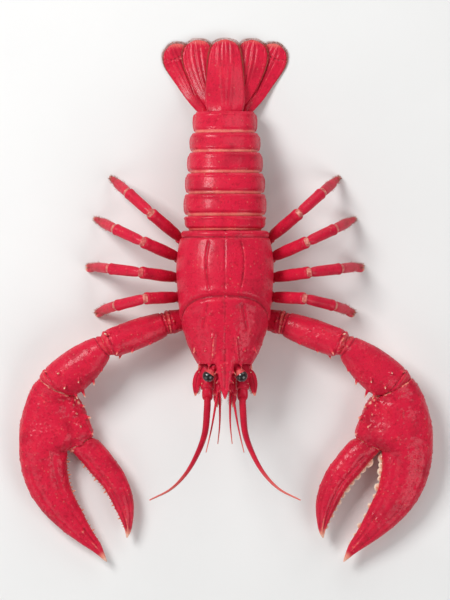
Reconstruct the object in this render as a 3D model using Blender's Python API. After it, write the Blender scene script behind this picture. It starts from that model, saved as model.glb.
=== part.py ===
"""A life-size lobster, as a still display model, in metres.

It stands on its walking legs, claws and tail fan, its head towards -Y and its left side
towards +X. The origin is on the floor, under the middle of the whole animal. Each shell plate
and each length of limb is a body of its own, and neighbours meet face to face.
"""

import math

import bmesh
import bpy
from mathutils import Matrix, Vector

# Driving dimensions of the body
BODY_LENGTH = 0.330
REACH = 0.240
GAP = 0.0003
FRONT_Y = -0.058
CARAPACE_END_Y = 0.062
TAIL_FAN_Y = 0.171
ROSTRUM_TIP_Y = REACH - BODY_LENGTH
THORAX_HALF_WIDTH = 0.017
COXA_HEIGHT = 0.0215
CARAPACE_FLOOR = 0.0300
UP = Vector((0.0, 0.0, 1.0))
FORWARD = Vector((0.0, -1.0, 0.0))
OUTWARD = Vector((1.0, 0.0, 0.0))

# Sides of each kind of loft
TRUNK_SIDES = 24
ABDOMEN_SIDES = 20
CLAW_SIDES = 16
ARM_SIDES = 14
LEG_SIDES = 10
PLATE_SIDES = 12
SMALL_SIDES = 8
SPINE_SIDES = 6
TOOTH_SIDES = 7
SHARP_EDGE = math.radians(40)

# How square a section is, above and below its widest line: 2 is round
CARAPACE_POWERS = (2.15, 3.6)
THORAX_POWERS = (8.0, 8.0)
RING_POWERS = (2.3, 3.5)
PLATE_POWERS = (1.6, 2.4)
HAND_POWERS = (2.2, 2.2)

# Carapace sections from front to back: y, half width, top, bottom, height of the widest line
CARAPACE = (
    (-0.058, 0.0250, 0.0705, 0.0370, 0.0510),
    (-0.050, 0.0295, 0.0735, 0.0345, 0.0500),
    (-0.038, 0.0345, 0.0765, 0.0320, 0.0490),
    (-0.024, 0.0385, 0.0795, 0.0305, 0.0485),
    (-0.010, 0.0412, 0.0815, 0.0300, 0.0485),
    (-0.001, 0.0425, 0.0823, 0.0300, 0.0485),
    (0.003, 0.0411, 0.0806, 0.0300, 0.0485),
    (0.007, 0.0431, 0.0828, 0.0300, 0.0485),
    (0.024, 0.0440, 0.0825, 0.0300, 0.0485),
    (0.040, 0.0432, 0.0805, 0.0300, 0.0485),
    (0.052, 0.0411, 0.0780, 0.0300, 0.0480),
    (0.058, 0.0399, 0.0768, 0.0300, 0.0475),
    (0.062, 0.0383, 0.0755, 0.0305, 0.0470),
)
GROOVE_Y = 0.003
GROOVE_SWEEP = 0.024

# Rostrum sections: y, height, half width, half thickness
ROSTRUM = (
    (-0.046, 0.0700, 0.0115, 0.0040),
    (-0.060, 0.0708, 0.0084, 0.0036),
    (-0.071, 0.0702, 0.0056, 0.0030),
    (-0.081, 0.0698, 0.0036, 0.0021),
    (ROSTRUM_TIP_Y, 0.0710, 0.0006, 0.0005),
)

# Spines of the beak, left side: y, length. They stand at this share of its half width
BEAK_SPINES = ((-0.064, 0.0050), (-0.072, 0.0048), (-0.080, 0.0040))
BEAK_SPINE_PLACE = 0.8
BEAK_SPINE_WAY = Vector((0.8, -0.7, 0.25))
BEAK_SPINE_RADIUS = 0.0014
# Spines of the head, left side: place, direction, length, radius
HEAD_SPINES = (
    ((0.0142, -0.0570, 0.0668), (0.15, -1.0, 0.25), 0.0075, 0.0018),
    ((0.0222, -0.0570, 0.0570), (0.35, -1.0, 0.05), 0.0075, 0.0020),
    ((0.0174, -0.0440, 0.0708), (0.30, -1.0, 0.55), 0.0045, 0.0018),
)

# Underside of the thorax: y, half width, bottom. Jaws: x, y, z, half width, half height
THORAX = (
    (-0.050, 0.0120, 0.0170),
    (-0.036, 0.0160, 0.0145),
    (-0.028, THORAX_HALF_WIDTH, 0.0140),
    (0.054, THORAX_HALF_WIDTH, 0.0140),
    (0.061, 0.0150, 0.0170),
)
JAW = (
    (0.0023, -0.0440, 0.0240, 0.0024, 0.0050),
    (0.0023, -0.0540, 0.0265, 0.0024, 0.0048),
    (0.0021, -0.0590, 0.0280, 0.0020, 0.0034),
)
MOUTH_LEG = (
    (0.0090, -0.0503, 0.0225, 0.0034, 0.0046),
    (0.0094, -0.0580, 0.0215, 0.0038, 0.0050),
    (0.0096, -0.0700, 0.0220, 0.0038, 0.0046),
    (0.0094, -0.0745, 0.0230, 0.0032, 0.0038),
    (0.0090, -0.0800, 0.0245, 0.0036, 0.0042),
    (0.0084, -0.0890, 0.0250, 0.0032, 0.0036),
    (0.0076, -0.0955, 0.0225, 0.0022, 0.0026),
    (0.0070, -0.0985, 0.0190, 0.0010, 0.0012),
)

# Abdomen borders from front to back: y, half width, top, bottom
ABDOMEN = (
    (0.0623, 0.0350, 0.0735, 0.0310),
    (0.0750, 0.0362, 0.0720, 0.0300),
    (0.0950, 0.0354, 0.0690, 0.0280),
    (0.1140, 0.0336, 0.0640, 0.0250),
    (0.1330, 0.0316, 0.0570, 0.0210),
    (0.1510, 0.0293, 0.0485, 0.0165),
    (TAIL_FAN_Y, 0.0260, 0.0370, 0.0120),
)
# Height of a segment's widest line, as a share of its height
RING_WIDEST = 0.30
# Along each segment: share of its length, swell of its section
TERGITE_SWELL = ((0.0, 0.93), (0.20, 0.955), (0.28, 1.0), (0.80, 1.02), (1.0, 1.0))
SEGMENTS_WITH_SWIMMERETS = (2, 3, 4, 5)
# A side flap from its root down: share of the segment, drop in depths, half width in lengths,
# half thickness, distance out
PLEURON = (
    (0.50, -0.9, 0.44, 0.0024, -0.0030),
    (0.52, -0.15, 0.42, 0.0021, -0.0004),
    (0.60, 0.45, 0.33, 0.0017, 0.0004),
    (0.74, 0.85, 0.17, 0.0012, 0.0002),
    (0.80, 1.0, 0.06, 0.0007, 0.0000),
)
PLEURON_DEPTH = 0.013
LAST_PLEURON = 0.7
PLEURON_CLEARANCE = 0.0045
# A swimmeret from its root: share of the segment, x, drop in reaches, half width, half thickness
SWIMMERET = (
    (0.25, 0.0100, -0.15, 0.0022, 0.0018),
    (0.35, 0.0110, 0.18, 0.0030, 0.0014),
    (0.62, 0.0118, 0.50, 0.0048, 0.0011),
    (0.98, 0.0122, 0.82, 0.0050, 0.0009),
    (1.22, 0.0122, 1.00, 0.0022, 0.0006),
)
SWIMMERET_REACH = 0.018
SWIMMERET_LEAN = Vector((0.0, 0.55, -1.0))
SWIMMERET_CLEARANCE = 0.0030

# Tail fan plates from root to edge: x, y, z, half width, half thickness
TELSON = (
    (0.0, TAIL_FAN_Y, 0.0290, 0.0165, 0.0065),
    (0.0, 0.1780, 0.0268, 0.0180, 0.0058),
    (0.0, 0.1900, 0.0205, 0.0183, 0.0044),
    (0.0, 0.2030, 0.0140, 0.0174, 0.0031),
    (0.0, 0.2140, 0.0101, 0.0163, 0.0024),
    (0.0, 0.2240, 0.0080, 0.0151, 0.0019),
    (0.0, 0.2320, 0.0070, 0.0132, 0.0015),
    (0.0, 0.2375, 0.0065, 0.0098, 0.0012),
    (0.0, REACH, 0.0062, 0.0042, 0.0009),
)
INNER_UROPOD = (
    (0.0095, TAIL_FAN_Y, 0.0165, 0.0040, 0.0034),
    (0.0125, 0.1800, 0.0142, 0.0065, 0.0029),
    (0.0168, 0.1910, 0.0106, 0.0096, 0.0023),
    (0.0207, 0.2030, 0.0076, 0.0122, 0.0018),
    (0.0232, 0.2140, 0.0054, 0.0141, 0.0015),
    (0.0248, 0.2230, 0.0042, 0.0147, 0.0013),
    (0.0258, 0.2310, 0.0037, 0.0134, 0.0011),
    (0.0265, 0.2368, 0.0035, 0.0098, 0.0010),
    (0.0269, 0.2396, 0.0034, 0.0044, 0.0008),
)
OUTER_UROPOD = (
    (0.0190, TAIL_FAN_Y, 0.0148, 0.0040, 0.0028),
    (0.0243, 0.1785, 0.0100, 0.0056, 0.0024),
    (0.0300, 0.1895, 0.0050, 0.0082, 0.0019),
    (0.0350, 0.2020, 0.0024, 0.0110, 0.0016),
    (0.0390, 0.2115, 0.0014, 0.0130, 0.0013),
    (0.0428, 0.2200, 0.0010, 0.0139, 0.0011),
    (0.0458, 0.2270, 0.0009, 0.0128, 0.0010),
    (0.0482, 0.2325, 0.0009, 0.0094, 0.0010),
    (0.0496, 0.2355, 0.0009, 0.0042, 0.0009),
)

# Claw sections from wrist to tips: x, y, half width, half thickness, height above the palm's middle
HAND = (
    (0.1551, -0.0794, 0.0165, 0.0112, 0.0100),
    (0.1572, -0.0862, 0.0218, 0.0140, 0.0068),
    (0.1570, -0.0943, 0.0270, 0.0170, 0.0038),
    (0.1563, -0.1082, 0.0320, 0.0192, 0.0000),
    (0.1548, -0.1253, 0.0355, 0.0200, 0.0000),
    (0.1663, -0.1380, 0.0233, 0.0172, 0.0000),
    (0.1649, -0.1546, 0.0220, 0.0152, -0.0008),
    (0.1608, -0.1693, 0.0202, 0.0133, -0.0014),
    (0.1526, -0.1859, 0.0172, 0.0115, -0.0020),
    (0.1404, -0.2019, 0.0134, 0.0096, -0.0026),
    (0.1275, -0.2167, 0.0088, 0.0072, -0.0032),
    (0.1165, -0.2283, 0.0048, 0.0045, -0.0036),
    (0.1082, -REACH, 0.0007, 0.0008, -0.0040),
)
FINGER = (
    (0.1308, -0.1320, 0.0122, 0.0112, 0.0000),
    (0.1216, -0.1402, 0.0132, 0.0116, -0.0002),
    (0.1118, -0.1521, 0.0131, 0.0110, -0.0006),
    (0.1028, -0.1635, 0.0123, 0.0100, -0.0012),
    (0.0960, -0.1767, 0.0111, 0.0089, -0.0018),
    (0.0916, -0.1898, 0.0091, 0.0074, -0.0024),
    (0.0894, -0.2019, 0.0058, 0.0053, -0.0028),
    (0.0887, -0.2115, 0.0031, 0.0031, -0.0032),
    (0.0898, -0.2183, 0.0006, 0.0007, -0.0036),
)
HINGE_SECTION = 4
CLAW_LEVEL = 0.0185
# The finger's socket: depth behind the hinge, share of the hinge's half width, half thickness.
# The finger's root takes a share of that half width
SOCKET = ((0.0240, 0.80, 0.0120), (0.0080, 1.02, 0.0148), (0.0, 0.97, 0.0128))
FINGER_ROOM = 0.90
# The crushing claw is on the left and the cutting claw on the right: width and thickness factors
CLAW_BUILD = {"left": (1.0, 1.0), "right": (0.95, 0.86)}
# Teeth along each finger: how many, length, radius, share of the radius at the top. Then the
# section where they start, and how many sections before the tip they end
CLAW_TEETH = {"left": (6, 0.0030, 0.0044, 0.45), "right": (9, 0.0030, 0.0017, 0.2)}
FIXED_TEETH = (0.7, 2.4)
FINGER_TEETH = (1.2, 2.6)
TOOTH_TAPER = 0.55

# Spines on the arm: place along the sections, angle round them, length. They lean to its far end
SPINE_RADIUS = 0.0020
MERUS_SPINES = ((3.6, 0.9, 0.006), (3.7, 2.2, 0.006), (2.6, 0.5, 0.004), (3.5, 5.9, 0.005))
CARPUS_SPINES = (
    (2.2, 0.25, 0.005), (3.0, 0.15, 0.007), (3.7, 0.45, 0.006),
    (2.6, 1.10, 0.005), (3.5, 1.30, 0.005), (3.6, 2.50, 0.004),
)
MERUS_LEAN = 0.8
CARPUS_LEAN = 0.5
PALM_LEAN = 0.3
PALM_SPINE_RADIUS = 0.0025
PALM_SPINE_BLUNT = 0.3
PALM_SPINES = ((1.3, 0.35, 0.0035), (2.1, 0.35, 0.0045), (3.0, 0.35, 0.0050), (3.8, 0.35, 0.0040))

# Joints of the arm that carries the claw, from the thorax outwards
ARM_ROOT = Vector((THORAX_HALF_WIDTH + GAP, -0.0145, COXA_HEIGHT))
ARM_BEND = Vector((0.0330, -0.0165, 0.0215))
ARM_ISCHIUM_END = Vector((0.0530, -0.0215, 0.0280))
ARM_MERUS_END = Vector((0.1080, -0.0415, 0.0380))
WRIST_LEVEL = {"left": 0.0300, "right": 0.0280}
WRIST_DROP = -0.002
# Lengths of the arm: share of the length, half width, half thickness
ARM_BASE = ((0.0, 0.0080, 0.0070), (0.35, 0.0085, 0.0074))
ISCHIUM = ((0.0, 0.0082, 0.0072), (0.5, 0.0100, 0.0082), (0.86, 0.0112, 0.0090), (1.0, 0.0098, 0.0080))
MERUS = (
    (0.0, 0.0095, 0.0078), (0.12, 0.0118, 0.0098), (0.45, 0.0136, 0.0115),
    (0.78, 0.0135, 0.0122), (0.93, 0.0128, 0.0118), (1.0, 0.0100, 0.0090),
)
CARPUS = (
    (0.0, 0.0098, 0.0088), (0.14, 0.0135, 0.0118), (0.42, 0.0176, 0.0140),
    (0.74, 0.0192, 0.0148), (0.93, 0.0184, 0.0136), (1.0, 0.0160, 0.0112),
)

# Walking legs, second to fifth: y of the coxa, knee, ankle, foot, with a pincer or not
LEGS = (
    (0.0030, (0.0720, 0.0010, 0.0560), (0.0985, -0.0055, 0.0390), (0.1200, -0.0120, -0.0012), True),
    (0.0180, (0.0760, 0.0245, 0.0580), (0.1045, 0.0280, 0.0400), (0.1280, 0.0310, -0.0012), True),
    (0.0325, (0.0740, 0.0520, 0.0560), (0.0995, 0.0640, 0.0390), (0.1210, 0.0750, -0.0012), False),
    (0.0465, (0.0670, 0.0780, 0.0520), (0.0880, 0.0970, 0.0360), (0.1060, 0.1130, -0.0012), False),
)

# Where a coxa bends, out from the middle and up. It turns a little towards the knee, and the
# length beyond it bows up
COXA_BEND = (0.0335, 0.0195)
COXA_TURN = 0.1
LEG_BOW = 0.0014
# Upper half of a leg: on the coxa (0) or beyond its bend (1), share of that length, half width,
# half thickness
LEG_UPPER = (
    (0, 0.0, 0.0058, 0.0052),
    (0, 0.6, 0.0056, 0.0050),
    (1, 0.0, 0.0044, 0.0044),
    (1, 0.12, 0.0056, 0.0050),
    (1, 0.24, 0.0048, 0.0044),
    (1, 0.55, 0.0057, 0.0049),
    (1, 0.93, 0.0054, 0.0046),
    (1, 1.0, 0.0042, 0.0036),
)
# Lower half of a leg: from the knee (0) or the ankle (1), share, half width, half thickness
LEG_LOWER = (
    (0, 0.0, 0.0042, 0.0036),
    (0, 0.2, 0.0050, 0.0044),
    (0, 0.85, 0.0052, 0.0046),
    (1, 0.0, 0.0040, 0.0036),
    (1, 0.12, 0.0048, 0.0040),
    (1, 0.50, 0.0046, 0.0036),
    (1, 0.62, 0.0036, 0.0029),
    (1, 0.82, 0.0026, 0.0021),
    (1, 1.0, 0.0012, 0.0011),
)
TOE_SHARE = 0.62
# The thumb of a leg's pincer: share of the toe, distance aside, half width, half thickness
THUMB = ((0.0, 0.3, 0.0024, 0.0022), (0.35, 1.0, 0.0024, 0.0020), (0.75, 1.3, 0.0017, 0.0014),
         (0.93, 0.9, 0.0008, 0.0008))
THUMB_SPREAD = 0.0028

# Feelers: the path of each antenna's whip beyond its base, and its radii
ANTENNA_ROOT = Vector((0.0158, FRONT_Y - GAP, 0.0490))
ANTENNA_BASE_END = Vector((0.0158, -0.0900, 0.0510))
ANTENNA_PATH = (
    ANTENNA_BASE_END,
    Vector((0.0162, -0.1005, 0.0610)),
    Vector((0.0180, -0.1190, 0.0900)),
    Vector((0.0240, -0.1350, 0.1280)),
    Vector((0.0335, -0.1505, 0.1680)),
    Vector((0.0465, -0.1625, 0.2020)),
    Vector((0.0640, -0.1705, 0.2240)),
)
ANTENNA_RADII = (0.0031, 0.0006)
ANTENNA_TAPER = 1.3
ANTENNA_LENGTHS = 2
POINTS_PER_LENGTH = 12
# The jointed base: share of the length, half width, half height. Its scale: x, y, widths
ANTENNA_BASE = (
    (0.0, 0.0068, 0.0070), (0.10, 0.0072, 0.0074), (0.38, 0.0070, 0.0072), (0.42, 0.0060, 0.0062),
    (0.46, 0.0062, 0.0064), (0.70, 0.0060, 0.0062), (0.74, 0.0048, 0.0050), (0.78, 0.0050, 0.0052),
    (0.96, 0.0046, 0.0048), (1.0, 0.0038, 0.0038),
)
ANTENNA_SPINES = ((1.7, 2.6, 0.0034), (4.6, 2.3, 0.0034), (1.8, 0.6, 0.0034))
ANTENNA_SPINE_RADIUS = 0.0013
ANTENNA_SPINE_LEAN = 1.2
SCALE_HEIGHT = 0.0495
SCALE = (
    (0.0200, -0.0605, 0.0022, 0.0030),
    (0.0232, -0.0670, 0.0042, 0.0014),
    (0.0252, -0.0750, 0.0042, 0.0011),
    (0.0262, -0.0820, 0.0026, 0.0009),
    (0.0268, -0.0870, 0.0007, 0.0006),
)
ANTENNULE_ROOT = Vector((0.0046, FRONT_Y - GAP, 0.0560))
ANTENNULE_END = Vector((0.0058, -0.0840, 0.0575))
ANTENNULE_STEM = (
    (0.0, 0.0029, 0.0029), (0.30, 0.0031, 0.0031), (0.36, 0.0025, 0.0025), (0.42, 0.0028, 0.0028),
    (0.65, 0.0027, 0.0027), (0.70, 0.0021, 0.0021), (0.76, 0.0025, 0.0025), (1.0, 0.0023, 0.0023),
)
ANTENNULE_BRANCHES = (
    (
        (0.0066, -0.0825, 0.0578), (0.0085, -0.0950, 0.0620),
        (0.0120, -0.1150, 0.0710), (0.0170, -0.1370, 0.0760),
    ),
    (
        (0.0050, -0.0825, 0.0565), (0.0046, -0.0960, 0.0570),
        (0.0048, -0.1130, 0.0600), (0.0065, -0.1300, 0.0620),
    ),
)
ANTENNULE_RADII = (0.0013, 0.0004)
BRANCH_POINTS = 9

EYE_RADIUS = 0.0053
EYE_CENTRE = Vector((0.0150, -0.0688, 0.0645))
EYESTALK_ROOT = Vector((0.0085, FRONT_Y - GAP, 0.0622))
EYE_FLAT = 0.0030
EYESTALK_RADIUS = 0.0034
EYE_RINGS = 6
EYE_TOP = math.radians(83)

COLOURS = {
    "shell": ((0.66, 0.012, 0.044), 0.35),
    "shell_light": ((0.70, 0.10, 0.07), 0.45),
    "claw": ((0.62, 0.010, 0.038), 0.32),
    "feeler": ((0.60, 0.012, 0.040), 0.40),
    "eye": ((0.004, 0.004, 0.005), 0.08),
}

model = None
materials = {}


def start_scene():
    """Clears the scene and makes the collection and the materials that the parts go in."""
    for obj in list(bpy.data.objects):
        bpy.data.objects.remove(obj, do_unlink=True)
    collection = bpy.data.collections.new("lobster")
    bpy.context.scene.collection.children.link(collection)
    for name, (colour, roughness) in COLOURS.items():
        material = bpy.data.materials.new(name)
        material.use_nodes = True
        shader = material.node_tree.nodes["Principled BSDF"]
        shader.inputs["Base Color"].default_value = (*colour, 1.0)
        shader.inputs["Roughness"].default_value = roughness
        shader.inputs["Metallic"].default_value = 0.0
        materials[name] = material
    return collection


class Section:
    """A cross-section of a shell: a superellipse round a centre, square to a direction."""

    def __init__(self, centre, facing, half_width, rise, drop=None, up=UP, powers=(2.0, 2.0)):
        self.centre = Vector(centre)
        self.facing = Vector(facing).normalized()
        self.half_width = half_width
        self.rise = rise
        self.drop = rise if drop is None else drop
        self.powers = powers
        self.across = self.facing.cross(up).normalized()
        self.up = self.across.cross(self.facing).normalized()

    def point(self, angle):
        """The point of the outline at this angle from the across direction."""
        power = self.powers[0] if math.sin(angle) >= 0 else self.powers[1]
        flat = math.copysign(abs(math.cos(angle)) ** (2 / power), math.cos(angle))
        tall = math.copysign(abs(math.sin(angle)) ** (2 / power), math.sin(angle))
        height = self.rise if tall >= 0 else self.drop
        return self.centre + self.across * (flat * self.half_width) + self.up * (tall * height)

    def outward(self, angle):
        """The direction that leaves the outline at this angle."""
        return (self.point(angle) - self.centre).normalized()


def lofted(sections, sides, warp=None):
    """A closed bmesh through the sections, with flat ends."""
    body = bmesh.new()
    rings = []
    for section in sections:
        angles = [math.tau * (k + 0.5) / sides for k in range(sides)]
        points = [section.point(angle) for angle in angles]
        if warp:
            points = [warp(point, angle) for point, angle in zip(points, angles)]
        rings.append([body.verts.new(point) for point in points])
    for near, far in zip(rings, rings[1:]):
        for k in range(sides):
            after = (k + 1) % sides
            body.faces.new((near[k], near[after], far[after], far[k]))
    body.faces.new(rings[0])
    body.faces.new(list(reversed(rings[-1])))
    bmesh.ops.recalc_face_normals(body, faces=body.faces)
    return body


def spine(root, direction, length, radius, sides=SPINE_SIDES, blunt=0.15):
    """A tapered spine that stands on root, its foot sunk in the shell below."""
    direction = Vector(direction).normalized()
    sunk = 0.6 * length
    body = bmesh.new()
    bmesh.ops.create_cone(
        body,
        cap_ends=True,
        segments=sides,
        radius1=radius * (1 + 0.3 * sunk / length),
        radius2=radius * blunt,
        depth=length + sunk,
    )
    turn = direction.to_track_quat("Z", "Y").to_matrix().to_4x4()
    middle = Vector(root) + direction * (length - sunk) / 2
    body.transform(Matrix.Translation(middle) @ turn)
    return body


def smooth_path(points, count):
    """count points on a smooth curve through the given ones."""
    ends = [2 * points[0] - points[1], *points, 2 * points[-1] - points[-2]]
    path = []
    for k in range(count):
        place = k * (len(points) - 1) / (count - 1)
        i = min(int(place), len(points) - 2)
        t = place - i
        a, b, c, d = ends[i : i + 4]
        path.append(
            0.5 * (2 * b + (c - a) * t + (2 * a - 5 * b + 4 * c - d) * t**2
                   + (3 * b - a - 3 * c + d) * t**3)
        )
    return path


def tube(name, points, radii):
    """A round tapering tube as a closed bmesh, from a curve with a bevel."""
    curve = bpy.data.curves.new(name, "CURVE")
    curve.dimensions = "3D"
    curve.bevel_depth = 1.0
    curve.bevel_resolution = 2
    curve.use_fill_caps = True
    spline = curve.splines.new("POLY")
    spline.points.add(len(points) - 1)
    for target, point, radius in zip(spline.points, points, radii):
        target.co = (*point, 1.0)
        target.radius = radius
    guide = bpy.data.objects.new(name, curve)
    model.objects.link(guide)
    graph = bpy.context.evaluated_depsgraph_get()
    mesh = bpy.data.meshes.new_from_object(guide.evaluated_get(graph))
    body = bmesh.new()
    body.from_mesh(mesh)
    bmesh.ops.remove_doubles(body, verts=body.verts, dist=1e-6)
    bmesh.ops.recalc_face_normals(body, faces=body.faces)
    bpy.data.objects.remove(guide, do_unlink=True)
    bpy.data.curves.remove(curve)
    bpy.data.meshes.remove(mesh)
    return body


def settle(body):
    """Flattens what would lie under the floor, as a resting foot or claw does."""
    for vert in body.verts:
        vert.co.z = max(vert.co.z, 0.0)
    return body


def mirrored(body):
    """The same closed bmesh on the other side of the body."""
    other = body.copy()
    other.transform(Matrix.Diagonal((-1.0, 1.0, 1.0, 1.0)))
    bmesh.ops.reverse_faces(other, faces=other.faces)
    return other


def object_of(name, body, side="left"):
    """The bmesh as an object. A right-hand piece is the left-hand one in a mirror."""
    if side == "right":
        body = mirrored(body)
    mesh = bpy.data.meshes.new(name)
    body.to_mesh(mesh)
    body.free()
    return bpy.data.objects.new(name, mesh)


def keep_largest(mesh):
    """Keeps the largest closed surface of a mesh that a union has made."""
    body = bmesh.new()
    body.from_mesh(mesh)
    left = set(body.verts)
    islands = []
    while left:
        front = [left.pop()]
        island = set(front)
        while front:
            vert = front.pop()
            for edge in vert.link_edges:
                other = edge.other_vert(vert)
                if other in left:
                    left.discard(other)
                    island.add(other)
                    front.append(other)
        islands.append(island)
    largest = max(islands, key=len)
    scraps = [vert for vert in body.verts if vert not in largest]
    bmesh.ops.delete(body, geom=scraps, context="VERTS")
    body.to_mesh(mesh)
    body.free()


def part(name, pieces, material, side="left"):
    """One node: its pieces, joined by a union, with its material and smooth shading."""
    obj = object_of(name, pieces[0], side)
    model.objects.link(obj)
    if len(pieces) > 1:
        extras = bpy.data.collections.new(name + "_pieces")
        bpy.context.scene.collection.children.link(extras)
        for number, piece in enumerate(pieces[1:]):
            extras.objects.link(object_of(f"{name}_piece_{number}", piece, side))
        union = obj.modifiers.new("union", "BOOLEAN")
        union.operation = "UNION"
        union.operand_type = "COLLECTION"
        union.collection = extras
        union.solver = "EXACT"
        graph = bpy.context.evaluated_depsgraph_get()
        joined = bpy.data.meshes.new_from_object(obj.evaluated_get(graph))
        obj.modifiers.clear()
        obj.data = joined
        for extra in list(extras.objects):
            bpy.data.objects.remove(extra, do_unlink=True)
        bpy.data.collections.remove(extras)
        keep_largest(joined)
    obj.data.materials.clear()
    obj.data.materials.append(materials[material])
    obj.data.shade_smooth()
    obj.data.set_sharp_from_angle(angle=SHARP_EDGE)
    return obj


def between(rows, y):
    """A table's row at this y, by straight lines between its rows."""
    for near, far in zip(rows, rows[1:]):
        if y <= far[0]:
            t = (y - near[0]) / (far[0] - near[0])
            return [a + (b - a) * t for a, b in zip(near, far)]
    return list(rows[-1])


def sweep_groove(point, angle):
    """Draws the carapace's rings forward on the flanks, so that they follow the neck groove."""
    if point.y < GROOVE_Y:
        weight = (point.y - FRONT_Y) / (GROOVE_Y - FRONT_Y)
    else:
        weight = (CARAPACE_END_Y - point.y) / (CARAPACE_END_Y - GROOVE_Y)
    low = min(1.0, 1.0 - math.sin(angle))
    return point + FORWARD * (GROOVE_SWEEP * weight * low**1.2)


def make_carapace():
    """The shield over head and thorax, with its beak, its spines and the groove of the neck."""
    sections = [
        Section((0, y, widest), -FORWARD, half, top - widest, widest - bottom, powers=CARAPACE_POWERS)
        for y, half, top, bottom, widest in CARAPACE
    ]
    beak = [Section((0, y, z), FORWARD, half, thick) for y, z, half, thick in ROSTRUM]
    spines = []
    for y, length in BEAK_SPINES:
        _, z, half, _ = between([(-row[0], *row[1:]) for row in ROSTRUM], -y)
        root = (half * BEAK_SPINE_PLACE, y, z)
        spines.append(spine(root, BEAK_SPINE_WAY, length, BEAK_SPINE_RADIUS))
    spines += [spine(*row) for row in HEAD_SPINES]
    spines += [mirrored(body) for body in spines]
    shield = lofted(sections, TRUNK_SIDES, sweep_groove)
    part("carapace", [shield, lofted(beak, SMALL_SIDES), *spines], "shell")


def make_thorax():
    """The underside between the legs, with the mouth's jaws at its front."""
    sections = []
    for y, half, bottom in THORAX:
        top = CARAPACE_FLOOR - GAP
        middle = (top + bottom) / 2
        sections.append(
            Section((0, y, middle), -FORWARD, half, top - middle, middle - bottom, powers=THORAX_POWERS)
        )
    jaw = lofted([Section(row[:3], FORWARD, row[3], row[4]) for row in JAW], SMALL_SIDES)
    part("thorax_underside", [lofted(sections, CLAW_SIDES), jaw, mirrored(jaw)], "shell_light")


def pleuron(y0, y1, half, bottom, depth):
    """The pointed flap that hangs from one side of a tail segment."""
    length = y1 - y0
    sections = [
        Section((half + out, y0 + along * length, bottom - drop * depth), -UP, wide * length, thick,
                up=OUTWARD)
        for along, drop, wide, thick, out in PLEURON
    ]
    return lofted(sections, SMALL_SIDES)


def swimmeret(y0, y1, bottom):
    """One of the soft paddles under the tail, leaning back."""
    reach = min(SWIMMERET_REACH, bottom - SWIMMERET_CLEARANCE)
    sections = [
        Section((x, y0 + along * (y1 - y0), bottom - drop * reach), SWIMMERET_LEAN, wide, thick,
                up=-FORWARD)
        for along, x, drop, wide, thick in SWIMMERET
    ]
    return lofted(sections, SMALL_SIDES)


def make_abdomen():
    """The six rings of the tail, each with its side flaps and most with swimmerets."""
    for number, (front, back) in enumerate(zip(ABDOMEN, ABDOMEN[1:]), start=1):
        y0 = front[0]
        y1 = back[0] - GAP
        sections = []
        for along, swell in TERGITE_SWELL:
            half, top, bottom = [a + (b - a) * along for a, b in zip(front[1:], back[1:])]
            middle = bottom + RING_WIDEST * (top - bottom)
            sections.append(
                Section((0, y0 + along * (y1 - y0), middle), -FORWARD, half * swell,
                        (top - middle) * swell, middle - bottom, powers=RING_POWERS)
            )
        pieces = [lofted(sections, ABDOMEN_SIDES)]
        half = (front[1] + back[1]) / 2
        bottom = (front[3] + back[3]) / 2
        if number > 1:
            depth = min(PLEURON_DEPTH, bottom - PLEURON_CLEARANCE)
            if number == len(ABDOMEN) - 1:
                depth *= LAST_PLEURON
            flap = pleuron(y0, y1, half, bottom, depth)
            pieces += [flap, mirrored(flap)]
        if number in SEGMENTS_WITH_SWIMMERETS:
            paddle = swimmeret(y0, y1, bottom)
            pieces += [paddle, mirrored(paddle)]
        part(f"abdomen_{number}", pieces, "shell")


def blade(rows, sides, powers):
    """A body through rows of place, half width and half thickness, from a root that faces back."""
    centres = [Vector(row[:3]) for row in rows]
    sections = []
    for k, row in enumerate(rows):
        ahead = centres[min(k + 1, len(rows) - 1)]
        facing = ahead - centres[k - 1] if k else Vector((0, ahead.y - centres[0].y, 0))
        sections.append(Section(centres[k], facing, row[3], row[4], powers=powers))
    return settle(lofted(sections, sides))


def make_tail_fan():
    """The telson and the two blades on each side of it."""
    part("telson", [blade(TELSON, PLATE_SIDES, PLATE_POWERS)], "shell")
    for side in ("left", "right"):
        part(f"uropod_inner_{side}", [blade(INNER_UROPOD, PLATE_SIDES, PLATE_POWERS)], "shell", side)
        part(f"uropod_outer_{side}", [blade(OUTER_UROPOD, PLATE_SIDES, PLATE_POWERS)], "shell", side)


def podomere(start, end, leaving, arriving, rows):
    """Sections of one length of limb, its ends in the planes that it shares with its neighbours.

    rows give the share of the length, the half width and the half thickness.
    """
    leaving = leaving.normalized()
    arriving = arriving.normalized()
    start = start + leaving * GAP / 2
    end = end - arriving * GAP / 2
    axis = (end - start).normalized()
    sections = []
    for t, wide, thick in rows:
        facing = leaving * (1 - t) ** 3 + axis * 3 * t * (1 - t) + arriving * t**3
        sections.append(Section(start.lerp(end, t), facing, wide, thick))
    return sections


def mitre(before, joint, after):
    """The direction that the shared plane of a joint faces."""
    return ((joint - before).normalized() + (after - joint).normalized()).normalized()


def surface(sections, place, angle):
    """A point on the skin of a row of sections, part way along it, and the way out there."""
    i = min(int(place), len(sections) - 2)
    t = place - i
    near = sections[i]
    far = sections[i + 1]
    point = near.point(angle).lerp(far.point(angle), t)
    return point, near.outward(angle).lerp(far.outward(angle), t).normalized()


def spines_on(sections, rows, lean, radius=SPINE_RADIUS, blunt=0.15):
    """Spines on a row of sections, leaning towards its far end."""
    ahead = sections[len(sections) // 2].facing * lean
    spines = []
    for place, angle, length in rows:
        point, out = surface(sections, place, angle)
        spines.append(spine(point, out + ahead, length, radius, blunt=blunt))
    return spines


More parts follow.
